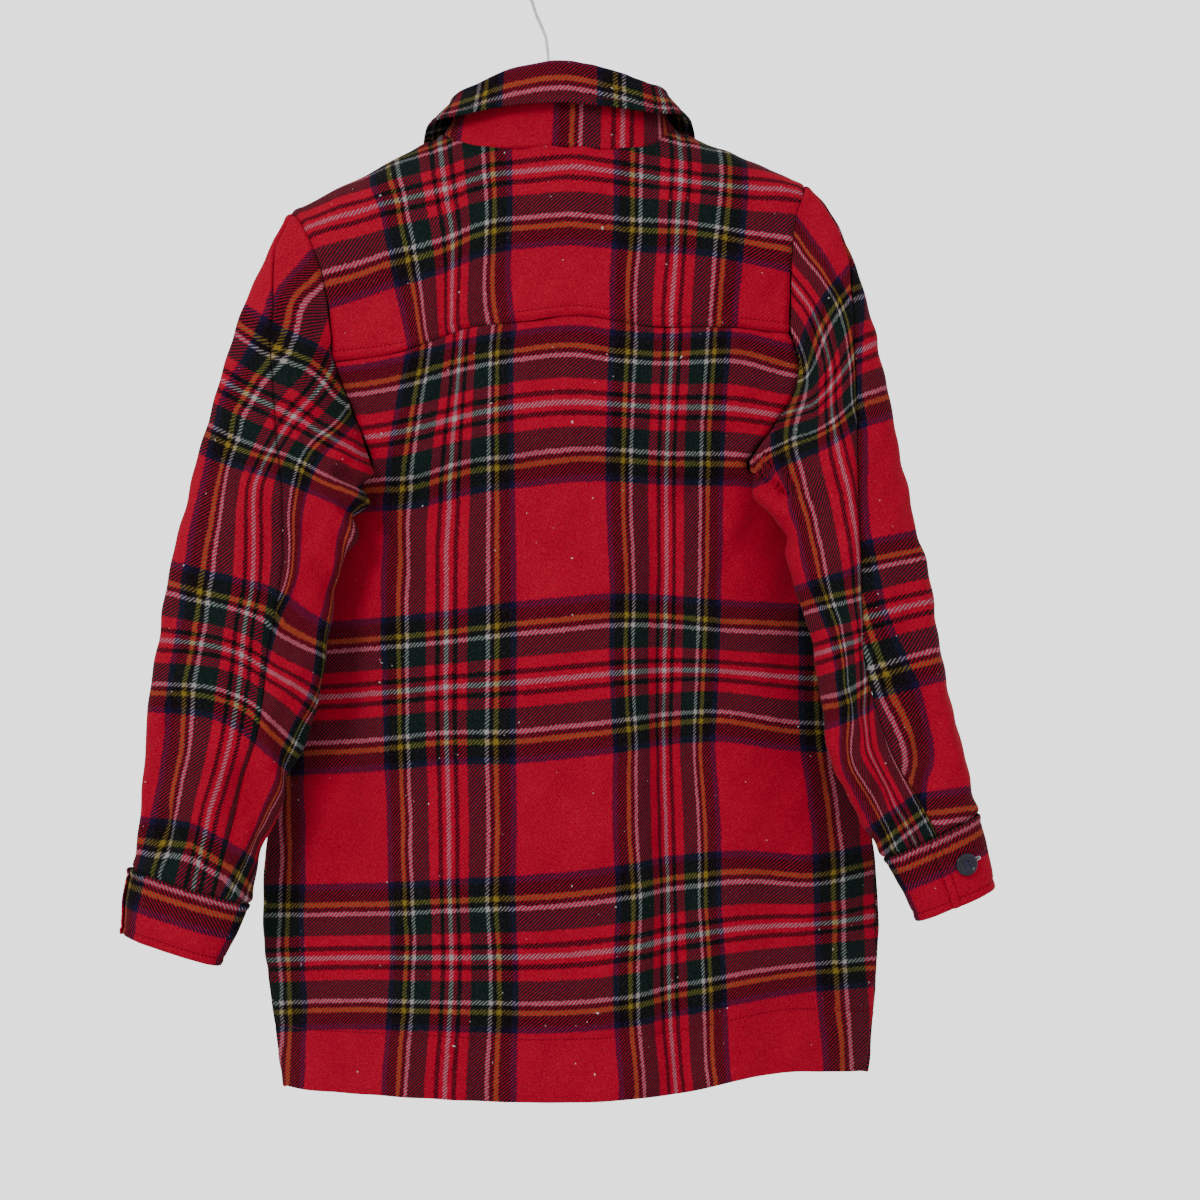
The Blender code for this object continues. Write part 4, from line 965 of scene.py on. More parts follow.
def tartan_group():
    """Tartan twill: warp and weft stripes from the same half repeat, mixed by a wave along the
    diagonal of the cloth, with a brushed nap, pale fibres and specks of lint over it."""
    group, enter, leave = node_group(
        "tartan_twill",
        [("Across", "Float", 0), ("Down", "Float", 0), ("Place", "Vector", 0), ("Twill", "Float", 1),
         ("Nap", "Float", 1)],
        [("Colour", "Color"), ("Height", "Float")])
    w = Wiring(group)
    across, down = enter.outputs["Across"], enter.outputs["Down"]
    place = enter.outputs["Place"]
    wander = w.noise(place, 420.0, 2.0)
    stray = w.math("MULTIPLY_ADD", wander, 0.030, -0.015)
    warp_at = w.math("PINGPONG", w.math("ADD", across, stray), 1.0)
    weft_at = w.math("PINGPONG", w.math("ADD", down, stray), 1.0)
    warp = w.ramp(warp_at, SETT)
    weft = w.ramp(weft_at, SETT)
    run = w.math("ADD", w.math("MULTIPLY", across, REPEAT_ACROSS / TWILL_STEP),
                 w.math("MULTIPLY", down, REPEAT_DOWN / TWILL_STEP))
    tick = w.math("SINE", w.math("MULTIPLY_ADD", run, 2 * math.pi, w.math("MULTIPLY", wander, 1.6)))
    swing = w.math("MULTIPLY", w.math("MULTIPLY", tick, 0.46), enter.outputs["Twill"])
    share = w.math("ADD", 0.5, swing)
    rest = w.math("SUBTRACT", 1.0, share)
    deep = w.mix("MULTIPLY", 1.0, w.power(warp, share), w.power(weft, rest))
    plain = w.mix("MIX", share, weft, warp)
    cloth = w.mix("MIX", 0.10, deep, plain)
    nap = w.noise(place, 900.0, 3.0, 0.7)
    slow = w.noise(place, 24.0, 3.0, 0.55)
    shade = w.math("ADD", w.span(nap, 0.3, 0.7, 0.66, 1.34), w.span(slow, 0.3, 0.7, -0.06, 0.06))
    grey = group.nodes.new("ShaderNodeCombineColor")
    for socket in grey.inputs:
        w.put(shade, socket)
    cloth = w.mix("MULTIPLY", 1.0, cloth, grey.outputs[0])
    hair = w.noise(place, 1500.0, 1.0)
    fuzz = w.math("MULTIPLY", w.span(hair, 0.55, 0.8, 0.0, 0.10), enter.outputs["Nap"])
    cloth = w.mix("MIX", fuzz, cloth, FIBRE)
    lint = w.noise(place, 330.0, 0.0)
    speck = w.span(lint, 0.876, 0.884, 0.0, 0.6)
    cloth = w.mix("MIX", speck, cloth, LINT)
    height = w.math("ADD", w.math("MULTIPLY", tick, 0.35), w.math("MULTIPLY", nap, 1.3))
    height = w.math("ADD", height, w.math("MULTIPLY", hair, 0.5))
    w.put(cloth, leave.inputs["Colour"])
    w.put(height, leave.inputs["Height"])
    return group


def wool_material(name, group):
    """Brushed wool: the tartan in the piece's own cut grain, with sheen and a fibrous bump."""
    made = bpy.data.materials.new(name)
    made.use_nodes = True
    w = Wiring(made.node_tree)
    shader = made.node_tree.nodes["Principled BSDF"]
    grain = made.node_tree.nodes.new("ShaderNodeUVMap")
    grain.uv_map = "cut_grain"
    parts = made.node_tree.nodes.new("ShaderNodeSeparateXYZ")
    w.put(grain.outputs[0], parts.inputs[0])
    place = made.node_tree.nodes.new("ShaderNodeTexCoord")
    cloth = made.node_tree.nodes.new("ShaderNodeGroup")
    cloth.node_tree = group
    w.put(parts.outputs[0], cloth.inputs["Across"])
    w.put(parts.outputs[1], cloth.inputs["Down"])
    w.put(place.outputs["Object"], cloth.inputs["Place"])
    cloth.inputs["Twill"].default_value = 1.0
    w.put(cloth.outputs["Colour"], shader.inputs["Base Color"])
    bump = made.node_tree.nodes.new("ShaderNodeBump")
    bump.inputs["Strength"].default_value = 0.55
    bump.inputs["Distance"].default_value = 0.0006
    w.put(cloth.outputs["Height"], bump.inputs["Height"])
    w.put(bump.outputs[0], shader.inputs["Normal"])
    shader.inputs["Roughness"].default_value = 0.92
    shader.inputs["Specular IOR Level"].default_value = 0.02
    shader.inputs["Sheen Weight"].default_value = 0.012
    shader.inputs["Sheen Roughness"].default_value = 0.45
    shader.inputs["Sheen Tint"].default_value = (1.0, 0.72, 0.72, 1)
    return made


def wear_group():
    """Fine wear of handling: one fine noise changes roughness and height."""
    group, enter, leave = node_group(
        "handling_wear", [("Place", "Vector", 0), ("Scale", "Float", 300), ("Rough", "Float", 0.3),
                          ("Change", "Float", 0.1)],
        [("Roughness", "Float"), ("Height", "Float")])
    w = Wiring(group)
    fine = w.noise(enter.outputs["Place"], enter.outputs["Scale"], 4.0, 0.65)
    spread = w.math("MULTIPLY", w.math("SUBTRACT", fine, 0.5), enter.outputs["Change"])
    w.put(w.math("ADD", enter.outputs["Rough"], spread), leave.inputs["Roughness"])
    w.put(fine, leave.inputs["Height"])
    return group


def hard_material(name, wear, colour, other, scale, rough, change, metal=0.0, coat=0.0,
                  bump_size=0.00005, shine=0.06):
    """Resin, steel or thread: two close colours blended by noise, with handling wear."""
    made = bpy.data.materials.new(name)
    made.use_nodes = True
    w = Wiring(made.node_tree)
    shader = made.node_tree.nodes["Principled BSDF"]
    place = made.node_tree.nodes.new("ShaderNodeTexCoord").outputs["Object"]
    used = made.node_tree.nodes.new("ShaderNodeGroup")
    used.node_tree = wear
    w.put(place, used.inputs["Place"])
    used.inputs["Scale"].default_value = scale
    used.inputs["Rough"].default_value = rough
    used.inputs["Change"].default_value = change
    cloud = w.noise(place, scale * 0.3, 3.0)
    w.put(w.mix("MIX", w.span(cloud, 0.35, 0.65), colour, other), shader.inputs["Base Color"])
    w.put(used.outputs["Roughness"], shader.inputs["Roughness"])
    bump = made.node_tree.nodes.new("ShaderNodeBump")
    bump.inputs["Strength"].default_value = 0.4
    bump.inputs["Distance"].default_value = bump_size
    w.put(used.outputs["Height"], bump.inputs["Height"])
    w.put(bump.outputs[0], shader.inputs["Normal"])
    shader.inputs["Metallic"].default_value = metal
    shader.inputs["Specular IOR Level"].default_value = shine
    shader.inputs["Coat Weight"].default_value = coat
    shader.inputs["Coat Roughness"].default_value = 0.12
    return made


# Mesh making

def new_object(name, points, faces, material, grain=None):
    """Object at the origin from points in millimetres and faces, with the cut grain as its map."""
    mesh = bpy.data.meshes.new(name)
    mesh.from_pydata((np.asarray(points) * MM).tolist(), [], faces)
    mesh.update()
    if grain is not None:
        corners = np.empty(len(mesh.loops), np.int32)
        mesh.loops.foreach_get("vertex_index", corners)
        layer = mesh.uv_layers.new(name="cut_grain")
        layer.data.foreach_set("uv", np.asarray(grain, np.float32)[corners].ravel())
    mesh.polygons.foreach_set("use_smooth", np.ones(len(mesh.polygons), bool))
    made = bpy.data.objects.new(name, mesh)
    made.data.materials.append(material)
    bpy.context.scene.collection.objects.link(made)
    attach(made, "root")
    return made


def grid_quads(rows, columns, turn, first=0):
    """Quads of a grid of points."""
    index = np.arange(rows * columns).reshape(rows, columns) + first
    quads = np.stack([index[:-1, :-1], index[1:, :-1], index[1:, 1:], index[:-1, 1:]], axis=-1)
    quads = quads.reshape(-1, 4)
    return quads if turn > 0 else quads[:, ::-1]


RIM = [(0.5, 0.22), (0.75, 0.5), (0.5, 0.78)]   # outward and inward steps of a rolled edge
RIM_OUT = 1.3              # scale of the outward steps
SEAM_THICK = 1.2           # how much thicker the cloth is at a sewn edge
# The sides of a grid: its rows, its columns, the axis that runs away from it and the way it runs
SIDES = {
    "start": (slice(0, 1), slice(None), 0, 1),
    "stop": (slice(-1, None), slice(None), 0, -1),
    "top": (slice(None), slice(0, 1), 1, 1),
    "bottom": (slice(None), slice(-1, None), 1, -1),
}
MADE = {}                  # finished cut pieces by name


def cloth_shell(name, place, normal, turn, grain, free, material):
    """Closed shell of one cut piece: the outer face, the inner face a wall's thickness inside it,
    and between them an edge that is rolled where it is free and straight where it is sewn."""
    rows, columns = place.shape[:2]
    far = ways(place)
    sewn = [side for side in SIDES if side not in free]
    thick = np.full((rows, columns), WALL)
    for side in sewn:
        thick = np.maximum(thick, WALL + SEAM_THICK * np.exp(-(far[side] / 6) ** 2))
    inner = place - normal * thick[..., None]
    index = np.arange(rows * columns).reshape(rows, columns)
    rim = np.concatenate([index[:-1, 0], index[-1, :-1], index[:0:-1, -1], index[0, :0:-1]])
    away = np.zeros_like(place)
    for side in free:
        rows_at, columns_at, axis, step = SIDES[side]
        inside = np.take(place, [1 if step > 0 else -2], axis=axis)
        away[rows_at, columns_at] += unit(place[rows_at, columns_at] - inside)
    edge = place.reshape(-1, 3)[rim]
    edge_in = inner.reshape(-1, 3)[rim]
    edge_away = unit(away.reshape(-1, 3)[rim])
    rolls = [edge + edge_away * out * RIM_OUT + (edge_in - edge) * deep for out, deep in RIM]
    size = rows * columns
    loop = len(rim)
    rings = [rim] + [2 * size + loop * k + np.arange(loop) for k in range(len(RIM))] + [rim + size]
    sides = []
    for one, other in zip(rings[:-1], rings[1:]):
        sides.append(np.stack([np.roll(one, -1), one, other, np.roll(other, -1)], axis=-1))
    sides = np.concatenate(sides)
    if turn < 0:
        sides = sides[:, ::-1]
    faces = np.concatenate([grid_quads(rows, columns, turn),
                            grid_quads(rows, columns, -turn, size), sides])
    points = np.concatenate([place.reshape(-1, 3), inner.reshape(-1, 3)] + rolls)
    flat = grain.reshape(-1, 2)
    mapped = np.concatenate([flat, flat] + [flat[rim]] * len(RIM))
    return new_object(name, points, faces.tolist(), material, mapped)


def sew(name, place, turn, grain, seams, stitched, relief, material):
    """Finish one cut piece: relief is added along its normals, its sewn sides are drawn half a
    seam gap in, then its shell is made, and it stands for its solid."""
    normal = outward(place, turn)
    far = ways(place)
    rise = relief + seam_relief(far, seams, stitched)
    place = place + normal * rise[..., None]
    for side in seams:
        rows_at, columns_at, axis, step = SIDES[side]
        inside = np.take(place, [1 if step > 0 else -2], axis=axis)
        pull = -SLEEVE_TUCK if "sleeve" in name and side == "bottom" else SEAM_GAP / 2
        place[rows_at, columns_at] += unit(inside - place[rows_at, columns_at]) * pull
    normal = outward(place, turn)
    free = [side for side in SIDES if side not in seams]
    made = cloth_shell(name + "_cloth", place, normal, turn, grain, free, material)
    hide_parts(name)
    MADE[name] = {"place": place, "normal": normal, "far": ways(place), "object": made,
                  "threads": []}
    return MADE[name]


def line_at(piece, side, distance, low=0.0, high=1.0):
    """Points and normals of the line that runs a cloth distance from one side of a piece: along
    every grid line the steps are added up until the distance is used."""
    place, normal = piece["place"], piece["normal"]
    if side in ("start", "stop"):
        place, normal = place.transpose(1, 0, 2), normal.transpose(1, 0, 2)
    if side in ("stop", "bottom"):
        place, normal = place[:, ::-1], normal[:, ::-1]
    step = np.linalg.norm(np.diff(place, axis=1), axis=-1)
    way = np.concatenate([np.zeros((len(step), 1)), np.cumsum(step, axis=1)], axis=1)[:, :-1]
    part = np.clip((distance - way) / np.maximum(step, 1e-6), 0, 1)[..., None]
    points = place[:, 0] + (np.diff(place, axis=1) * part).sum(axis=1)
    facing = normal[:, 0] + (np.diff(normal, axis=1) * part).sum(axis=1)
    first, last = int(low * (len(points) - 1)), int(high * (len(points) - 1)) + 1
    return points[first:last], unit(facing[first:last])


def tubes(path, radius, beside, up, sides, first=0):
    """Round threads along many paths at once: a ring of points round every step of every path,
    cosine times the side direction plus sine times the up direction, quads between the rings and
    a face over both ends. first is the number of the first point."""
    count, steps = path.shape[:2]
    turn = np.arange(sides) / sides * 2 * math.pi
    rings = path[:, :, None] + radius * (np.cos(turn)[:, None] * beside[:, :, None]
                                         + np.sin(turn)[:, None] * up[:, :, None])
    starts = first + np.arange(count) * steps * sides
    base = starts[:, None, None] + np.arange(steps - 1)[None, :, None] * sides
    here = base + np.arange(sides)
    there = base + (np.arange(sides) + 1) % sides
    faces = np.stack([here, there, there + sides, here + sides], axis=-1).reshape(-1, 4).tolist()
    faces += (starts[:, None] + np.arange(sides)[::-1]).tolist()
    faces += (starts[:, None] + (steps - 1) * sides + np.arange(sides)).tolist()
    return rings.reshape(-1, 3), faces


# One stitch: part of its length, height over the cloth and radius
STITCH = [(-0.5, -0.55, 0.12), (-0.3, 0.12, 0.30), (0.0, 0.26, 0.34), (0.3, 0.12, 0.30),
          (0.5, -0.55, 0.12)]
STITCH_PITCH = 3.4         # from one stitch to the next
STITCH_SHARE = 0.84        # share of the pitch that a stitch takes up


def stitch_run(name, runs, material):
    """Rows of stitches: each one a short round thread carried along the line, dipping into the
    cloth at both ends."""
    points, faces, first = [], [], 0
    table = np.array(STITCH)
    for line, facing in runs:
        way = np.concatenate([[0], np.cumsum(np.linalg.norm(np.diff(line, axis=0), axis=1))])
        count = max(int(way[-1] / STITCH_PITCH), 1)
        middle = (np.arange(count) + 0.5) * way[-1] / count
        at = middle[:, None] + table[None, :, 0] * STITCH_PITCH * STITCH_SHARE
        spot = np.stack([np.interp(at, way, line[:, k]) for k in range(3)], axis=-1)
        up = unit(np.stack([np.interp(at, way, facing[:, k]) for k in range(3)], axis=-1))
        ahead = unit(spot[:, -1:] - spot[:, :1])
        beside = unit(np.cross(up, ahead))
        spot = spot + up * table[None, :, 1:2]
        radius = table[None, :, 2, None, None]
        made, joined = tubes(spot, radius, beside, up, 6, first)
        points.append(made)
        faces += joined
        first += len(made)
    return new_object(name, np.concatenate(points), faces, material)


# Body

def back_piece(back, wool):
    """Lower back: its charts are read where the camera sees it, and its hem hangs lifted."""
    fine = resample(back, stations(back, 0), stations(back, 1, (8,)))
    low = ease(1 - ways(fine)["bottom"] / 260)
    fine[..., 2] += low * smooth(fine[..., 0].ravel(), *np.array(HEM_LIFT).T).reshape(low.shape)
    spots = seen(fine)
    grain = np.stack([charted(spots_of(BACK_ACROSS), spots), charted(spots_of(BACK_DOWN), spots)], axis=-1)
    relief = 1.5 * creases(spots, BACK_CREASES) + uneven(fine, 34, 1.2)
    relief += pucker(ways(fine), ("top", "start", "stop"))
    sew("back", fine, 1, grain, ("start", "stop", "top"), (("bottom", HEM_STITCH), ("bottom", HEM_ROLL)),
        relief, wool)


def yoke_piece(yoke, wool):
    """Yoke: its charts are laid flat over the shoulder, with rows added on the hidden front that
    carry the pattern on at its usual spacing."""
    flat = over_flat(yoke)
    both = np.concatenate([yoke, flat], axis=-1)
    both = resample(both, stations(yoke, 0), stations(yoke, 1, (YOKE_STITCH,), 2.6))
    fine, flat = both[..., :3], both[..., 3:]
    spots = seen(fine)
    down = [(*hang_flat(x, z), value) for x, z, value in spots_of(YOKE_DOWN)]
    known = 60.0
    for x in (-150, -60, 30, 120, 180):
        level = charted(down, np.array([[x, known]]))[0]
        down.append((x, -FORWARD_SEAM, level - (known + FORWARD_SEAM) / REPEAT_DOWN))
    across = [(*hang_flat(x, z), value) for x, z, value in spots_of(YOKE_ACROSS)]
    across += [(x, -FORWARD_SEAM, -x / REPEAT_ACROSS + 0.02) for x in (-190, -90, 0, 90, 190)]
    grain = np.stack([charted(across, flat), charted(down, flat)], axis=-1)
    far = ways(fine)
    relief = creases(spots, YOKE_CREASES) + uneven(fine, 30, 0.9)
    relief += pucker(far, ("top", "start", "stop"))
    relief += 1.4 * np.exp(-(far["bottom"] / 2.0) ** 2)
    sew("yoke", fine, -1, grain, ("start", "stop", "top", "bottom"), (("top", YOKE_STITCH),), relief, wool)


def front_piece(name, grid, turn, wool):
    """One front: no camera sees it, so its pattern is counted from the centre line outwards, with
    a little more where the cloth turns back to the side, and down from a middle height."""
    fine = resample(grid, stations(grid, 0), stations(grid, 1))
    far = ways(fine)
    reach = np.abs(fine[..., 0])
    turned = (fine[..., 1] + 42) ** 2 / (2 * reach + 60)
    across = -np.sign(fine[..., 0]) * (reach + turned) / REPEAT_ACROSS
    down = (-475 - fine[..., 2]) / REPEAT_DOWN
    grain = np.stack([across, down], axis=-1)
    relief = 1.4 * creases(fine[..., [0, 2]], FRONT_CREASES) + uneven(fine, 36, 1.2)
    relief *= ease((far["stop"] - 4) / 40)
    relief += pucker(far, ("start", "top")) * ease(far["stop"] / 60)
    sew(name, fine, turn, grain, ("start", "top"),
        (("bottom", HEM_STITCH), ("stop", EDGE_STITCH), ("stop", BAND_STITCH)), relief, wool)


def over_flat(yoke):
    """Across and distance behind the shoulder line of every coarse yoke point: the inverse of the
    ridge formula, read from its height and the side it lies on."""
    behind = behind_at(yoke[..., 0], np.minimum(yoke[..., 2], shoulder_height(yoke[..., 0])))
    return np.stack([yoke[..., 0], np.where(yoke[..., 1] < 0, -behind, behind)], axis=-1)


def hang_flat(x, z):
    """Across and distance behind the shoulder line of a place seen by the camera: its depth is
    guessed, the view's spread taken off, and the depth found again, three times."""
    y = 45.0
    for _ in range(3):
        shrink = 1 - y / EYE_AWAY
        across = VIEW_X + (x - VIEW_X) * shrink
        height = min(VIEW_Z + (z - VIEW_Z) * shrink, float(shoulder_height(across)) - 0.01)
        behind = float(behind_at(across, height))
        y = float(over_shoulder(across, behind)[1])
    return across, behind


# Sleeves and cuffs

PAD = 6                    # ring places added before and after the two turns of a sleeve
DENSE = 10                 # readings between two ring places
SLEEVE_WIDE = 150          # usual width of a sleeve piece, which gives its number of columns


def sleeve_sheet(sleeve, first, last, columns):
    """Fine grid between two lines round a sleeve: the ring index runs from first to last on every
    column, and the surface is read from a dense closed ring between its nearest points."""
    padded = np.concatenate([sleeve[-PAD:], sleeve, sleeve, sleeve[:PAD]])
    rings = np.linspace(0, len(padded) - 1, (len(padded) - 1) * DENSE + 1)
    dense = resample(padded, rings, columns)
    low, high = np.interp(columns, *first), np.interp(columns, *last)
    share = np.linspace(0, 1, int(SLEEVE_WIDE / CELL))
    share = np.unique(np.concatenate([share, [0.008, 0.018, 0.982, 0.992]]))
    index = low[None] + share[:, None] * (high - low)[None]
    at = (index + PAD) * DENSE
    floor = np.floor(at).astype(int)
    part = (at - floor)[..., None]
    beside = np.arange(len(columns))[None]
    return dense[floor, beside] * (1 - part) + dense[floor + 1, beside] * part, index


def fold_over(value, index, edge, front_first):
    """Carry a chart round a folded edge: beyond the edge the value goes on as it came, twice the
    edge's value less the charted one."""
    at_edge = np.array([np.interp(edge, index[:, k], value[:, k]) for k in range(index.shape[1])])
    hidden = index < edge if front_first else index > edge
    return np.where(hidden, 2 * at_edge[None] - value, value)


def sleeve_pieces(side, front, table, folds, seam, charts, creased, yoke, back, wool):
    """Upper and under sleeve of one arm, split along the back seam that drifts round the sleeve."""
    loop = armhole_loop(yoke, back, front, side == "left")
    top_index = int(loop[:YOKE_ROWS, 2].argmax())
    sleeve = sleeve_surface(table, folds, loop, top_index, UNDERARM_FOLD)
    turn = -1 if side == "left" else 1
    columns = stations(sleeve, 1, (), 2.8)
    ends = [0, SLEEVE_ROWS - 1]
    fixed = (ends, [FRONT_SEAM, FRONT_SEAM])
    again = (ends, [FRONT_SEAM + len(loop)] * 2)
    moving = (seam[0], FRONT_SEAM + np.array(seam[1]))
    for part, low, high, edge, front_first, across, down in (
            ("upper", fixed, moving, OUTER_EDGE, True, charts[0], charts[1]),
            ("under", moving, again, UNDERARM_FOLD + len(loop), False, charts[2], charts[3])):
        fine, index = sleeve_sheet(sleeve, low, high, columns)
        spots = seen(fine)
        warp = fold_over(charted(across, spots), index, edge, front_first)
        grain = np.stack([warp, charted(down, spots)], axis=-1)
        far = ways(fine)
        relief = creases(spots, creased) * np.where(fine[..., 1] > 30, 1.5, 0.6)
        relief += uneven(fine, 26, 1.2) + pucker(far, ("top", "bottom"))
        relief *= ease(far["top"] / 6) * 0.85 + 0.15
        relief = relief * ease(far["bottom"] / 8 + 0.2) - 0.8 * ease(1 - far["bottom"] / 5)
        sew(side + "_sleeve_" + part, fine, turn, grain, ("start", "stop", "top", "bottom"), (), relief,
            wool)


def cuff_piece(side, table, lap, middle, wool):
    """Cuff strip of one arm: the cloth distance round it, counted from where the camera sees it at
    a middle place across, gives the place across the pattern, and the distance up from its edge
    gives the place down it."""
    grid = cuff_surface(table, math.radians(lap))
    fine = resample(grid, stations(grid, 0, (), 2.4), stations(grid, 1, (5,), 2.4))
    turn = -1 if side == "left" else 1
    far = ways(fine)
    share = far["start"] / far["start"][-1:]
    facing = np.where(outward(fine, turn)[:, 3, 1] > 0, np.abs(seen(fine)[:, 3, 0] - middle), 1000)
    step = facing.argmin()
    across = (share - share[step:step + 1]) * far["start"][-1].mean() / REPEAT_ACROSS
    down = 0.67 - far["top"] / REPEAT_DOWN
    relief = uneven(fine, 20, 0.4) + 0.4 * ease(1 - far["bottom"] / 8) + 0.4 * ease(1 - far["top"] / 6)
    sew(side + "_cuff", fine, turn, np.stack([across, down], axis=-1), (),
        (("bottom", EDGE_STITCH), ("top", CUFF_TOP_STITCH), ("start", EDGE_STITCH), ("stop", EDGE_STITCH)),
        relief, wool)


# Collar

def counted(place, far, x):
    """Place across the pattern of a strip: the cloth distance along every line of it from the step
    that lies nearest to an across of the top line."""
    step = np.abs(place[:, 0, 0] - x).argmin()
    return (far["start"] - far["start"][step:step + 1]) / REPEAT_ACROSS


def collar_pieces(left, yoke, right, wool):
    """Stand and leaf of the collar, their pattern counted along the neck from the centre back."""
    line = neck_points(left, yoke, right)
    grid = stand_surface(line)
    fine = resample(grid, stations(grid, 0, (), 2.4), stations(grid, 1, (), 2.2))
    far = ways(fine)
    grain = np.stack([counted(fine, far, 40), 0.02 + 0.14 - far["top"] / REPEAT_DOWN], axis=-1)
    fine[:, 0] += unit(fine[:, 0] - fine[:, 1]) * STAND_TUCK
    relief = uneven(fine, 18, 0.25) + 1.5 * np.exp(-(far["top"] / 2.0) ** 2)
    sew("collar_stand", fine, 1, grain, ("top",), (), relief, wool)

    line[0, 0] += 1.5
    line[-1, 0] -= 1.5
    grid = leaf_surface(line)
    fine = resample(grid, stations(grid, 0, (), 2.2), stations(grid, 1, (), 1.6))
    far = ways(fine)
    across = counted(fine, far, 4)
    crest = np.take_along_axis(far["top"], fine[..., 2].argmax(axis=1)[:, None], axis=1)
    down = 0.395 + (far["top"] - crest) / REPEAT_DOWN
    relief = uneven(fine, 16, 0.3) + 0.3 * ease(1 - far["bottom"] / 7)
    sew("collar_leaf", fine, -1, np.stack([across, down], axis=-1), (), (("bottom", EDGE_STITCH),),
        relief, wool)


# Buttons and buttonholes

# Profile of a button from the middle of its underside to the middle of its top: radius, height
BUTTON_PROFILE = [
    (0.0, 0.25), (7.2, 0.2), (8.4, 0.45), (8.95, 1.1), (9.0, 1.8), (8.75, 2.5), (8.2, 2.95), (7.5, 3.0),
    (6.9, 2.75), (6.5, 2.35), (6.2, 2.1), (5.0, 1.9), (2.6, 1.82), (0.0, 1.85),
]
HOLE_OFF = 1.8             # a thread hole from the middle of the button, both ways
HOLE_ROUND = 0.95          # radius of a thread hole


def button_mesh():
    """Button turned from its profile in 56 steps, radius times cosine and sine, height as drawn,
    with four thread holes cut through it. Gives its points and faces."""
    turns = 56
    profile = np.array(BUTTON_PROFILE)
    angle = np.arange(turns) / turns * 2 * math.pi
    body = profile[1:-1]
    ring_points = np.stack([body[None, :, 0] * np.cos(angle)[:, None],
                            body[None, :, 0] * np.sin(angle)[:, None],
                            np.repeat(body[None, :, 1], turns, axis=0)], axis=-1)
    points = np.concatenate([ring_points.reshape(-1, 3), [[0, 0, profile[0, 1]], [0, 0, profile[-1, 1]]]])
    count = len(body)
    here = (np.arange(turns) * count)[:, None] + np.arange(count - 1)[None]
    there = ((np.arange(turns) + 1) % turns * count)[:, None] + np.arange(count - 1)[None]
    faces = np.stack([here, there, there + 1, here + 1], axis=-1).reshape(-1, 4).tolist()
    low, high = turns * count, turns * count + 1
    start = np.arange(turns) * count
    after = np.roll(start, -1)
    faces += np.stack([np.full(turns, low), after, start], axis=-1).tolist()
    faces += np.stack([np.full(turns, high), start + count - 1, after + count - 1], axis=-1).tolist()
    mesh = bpy.data.meshes.new("button_turned")
    mesh.from_pydata(points.tolist(), [], faces)
    made = bpy.data.objects.new("button_turned", mesh)
    bpy.context.scene.collection.objects.link(made)
    for dx, dy in ((1, 1), (-1, 1), (-1, -1), (1, -1)):
        bpy.ops.mesh.primitive_cylinder_add(vertices=20, radius=HOLE_ROUND, depth=8,
                                            location=(dx * HOLE_OFF, dy * HOLE_OFF, 1))
        hole = bpy.context.object
        cut = made.modifiers.new("hole", "BOOLEAN")
        cut.operation = "DIFFERENCE"
        cut.solver = "EXACT"
        cut.object = hole
        graph = bpy.context.evaluated_depsgraph_get()
        made.data = bpy.data.meshes.new_from_object(made.evaluated_get(graph))
        made.modifiers.clear()
        bpy.data.objects.remove(hole)
    cutmesh = made.data
    points = np.empty(len(cutmesh.vertices) * 3)
    cutmesh.vertices.foreach_get("co", points)
    faces = [tuple(face.vertices) for face in cutmesh.polygons]
    bpy.data.objects.remove(made)
    return points.reshape(-1, 3), faces


def axes_at(facing, along):
    """Rows of a turn whose third axis faces out of the cloth and whose first lies along a line."""
    up = unit(np.asarray(facing, float))
    first = unit(np.asarray(along, float) - up * np.dot(along, up))
    return np.stack([first, np.cross(up, first), up])


def sew_button(name, shape, spot, facing, along, resin, thread):
    """Button on the cloth with its threads: two bridges, of two threads each, between its holes.
    Each thread rises from one hole as a sine and goes down into the other."""
    turn = axes_at(facing, along)
    points, faces = shape
    foot = spot + SEAM_GAP * turn[2]
    made = new_object(name + "_turned", points @ turn + foot, faces, resin)
    edges = made.modifiers.new("edges", "EDGE_SPLIT")
    edges.split_angle = math.radians(42)
    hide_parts(name)
    part = np.linspace(0, 1, 9)
    arch = 1.2 + 1.35 * np.sin(part * math.pi) ** 0.6
    paths = [np.stack([(part * 2 - 1) * 2.0, np.full(9, y + shift), arch], axis=-1)
             for y in (-HOLE_OFF, HOLE_OFF) for shift in (-0.3, 0.3)]
    path = np.stack(paths)
    beside = np.array([0.0, 1.0, 0.0])[None, None]
    up = unit(np.cross(unit(np.gradient(path, axis=1)), beside))
    points, faces = tubes(path, 0.33, beside, up, 8)
    new_object(name + "_threads", points @ turn + foot, faces, thread)


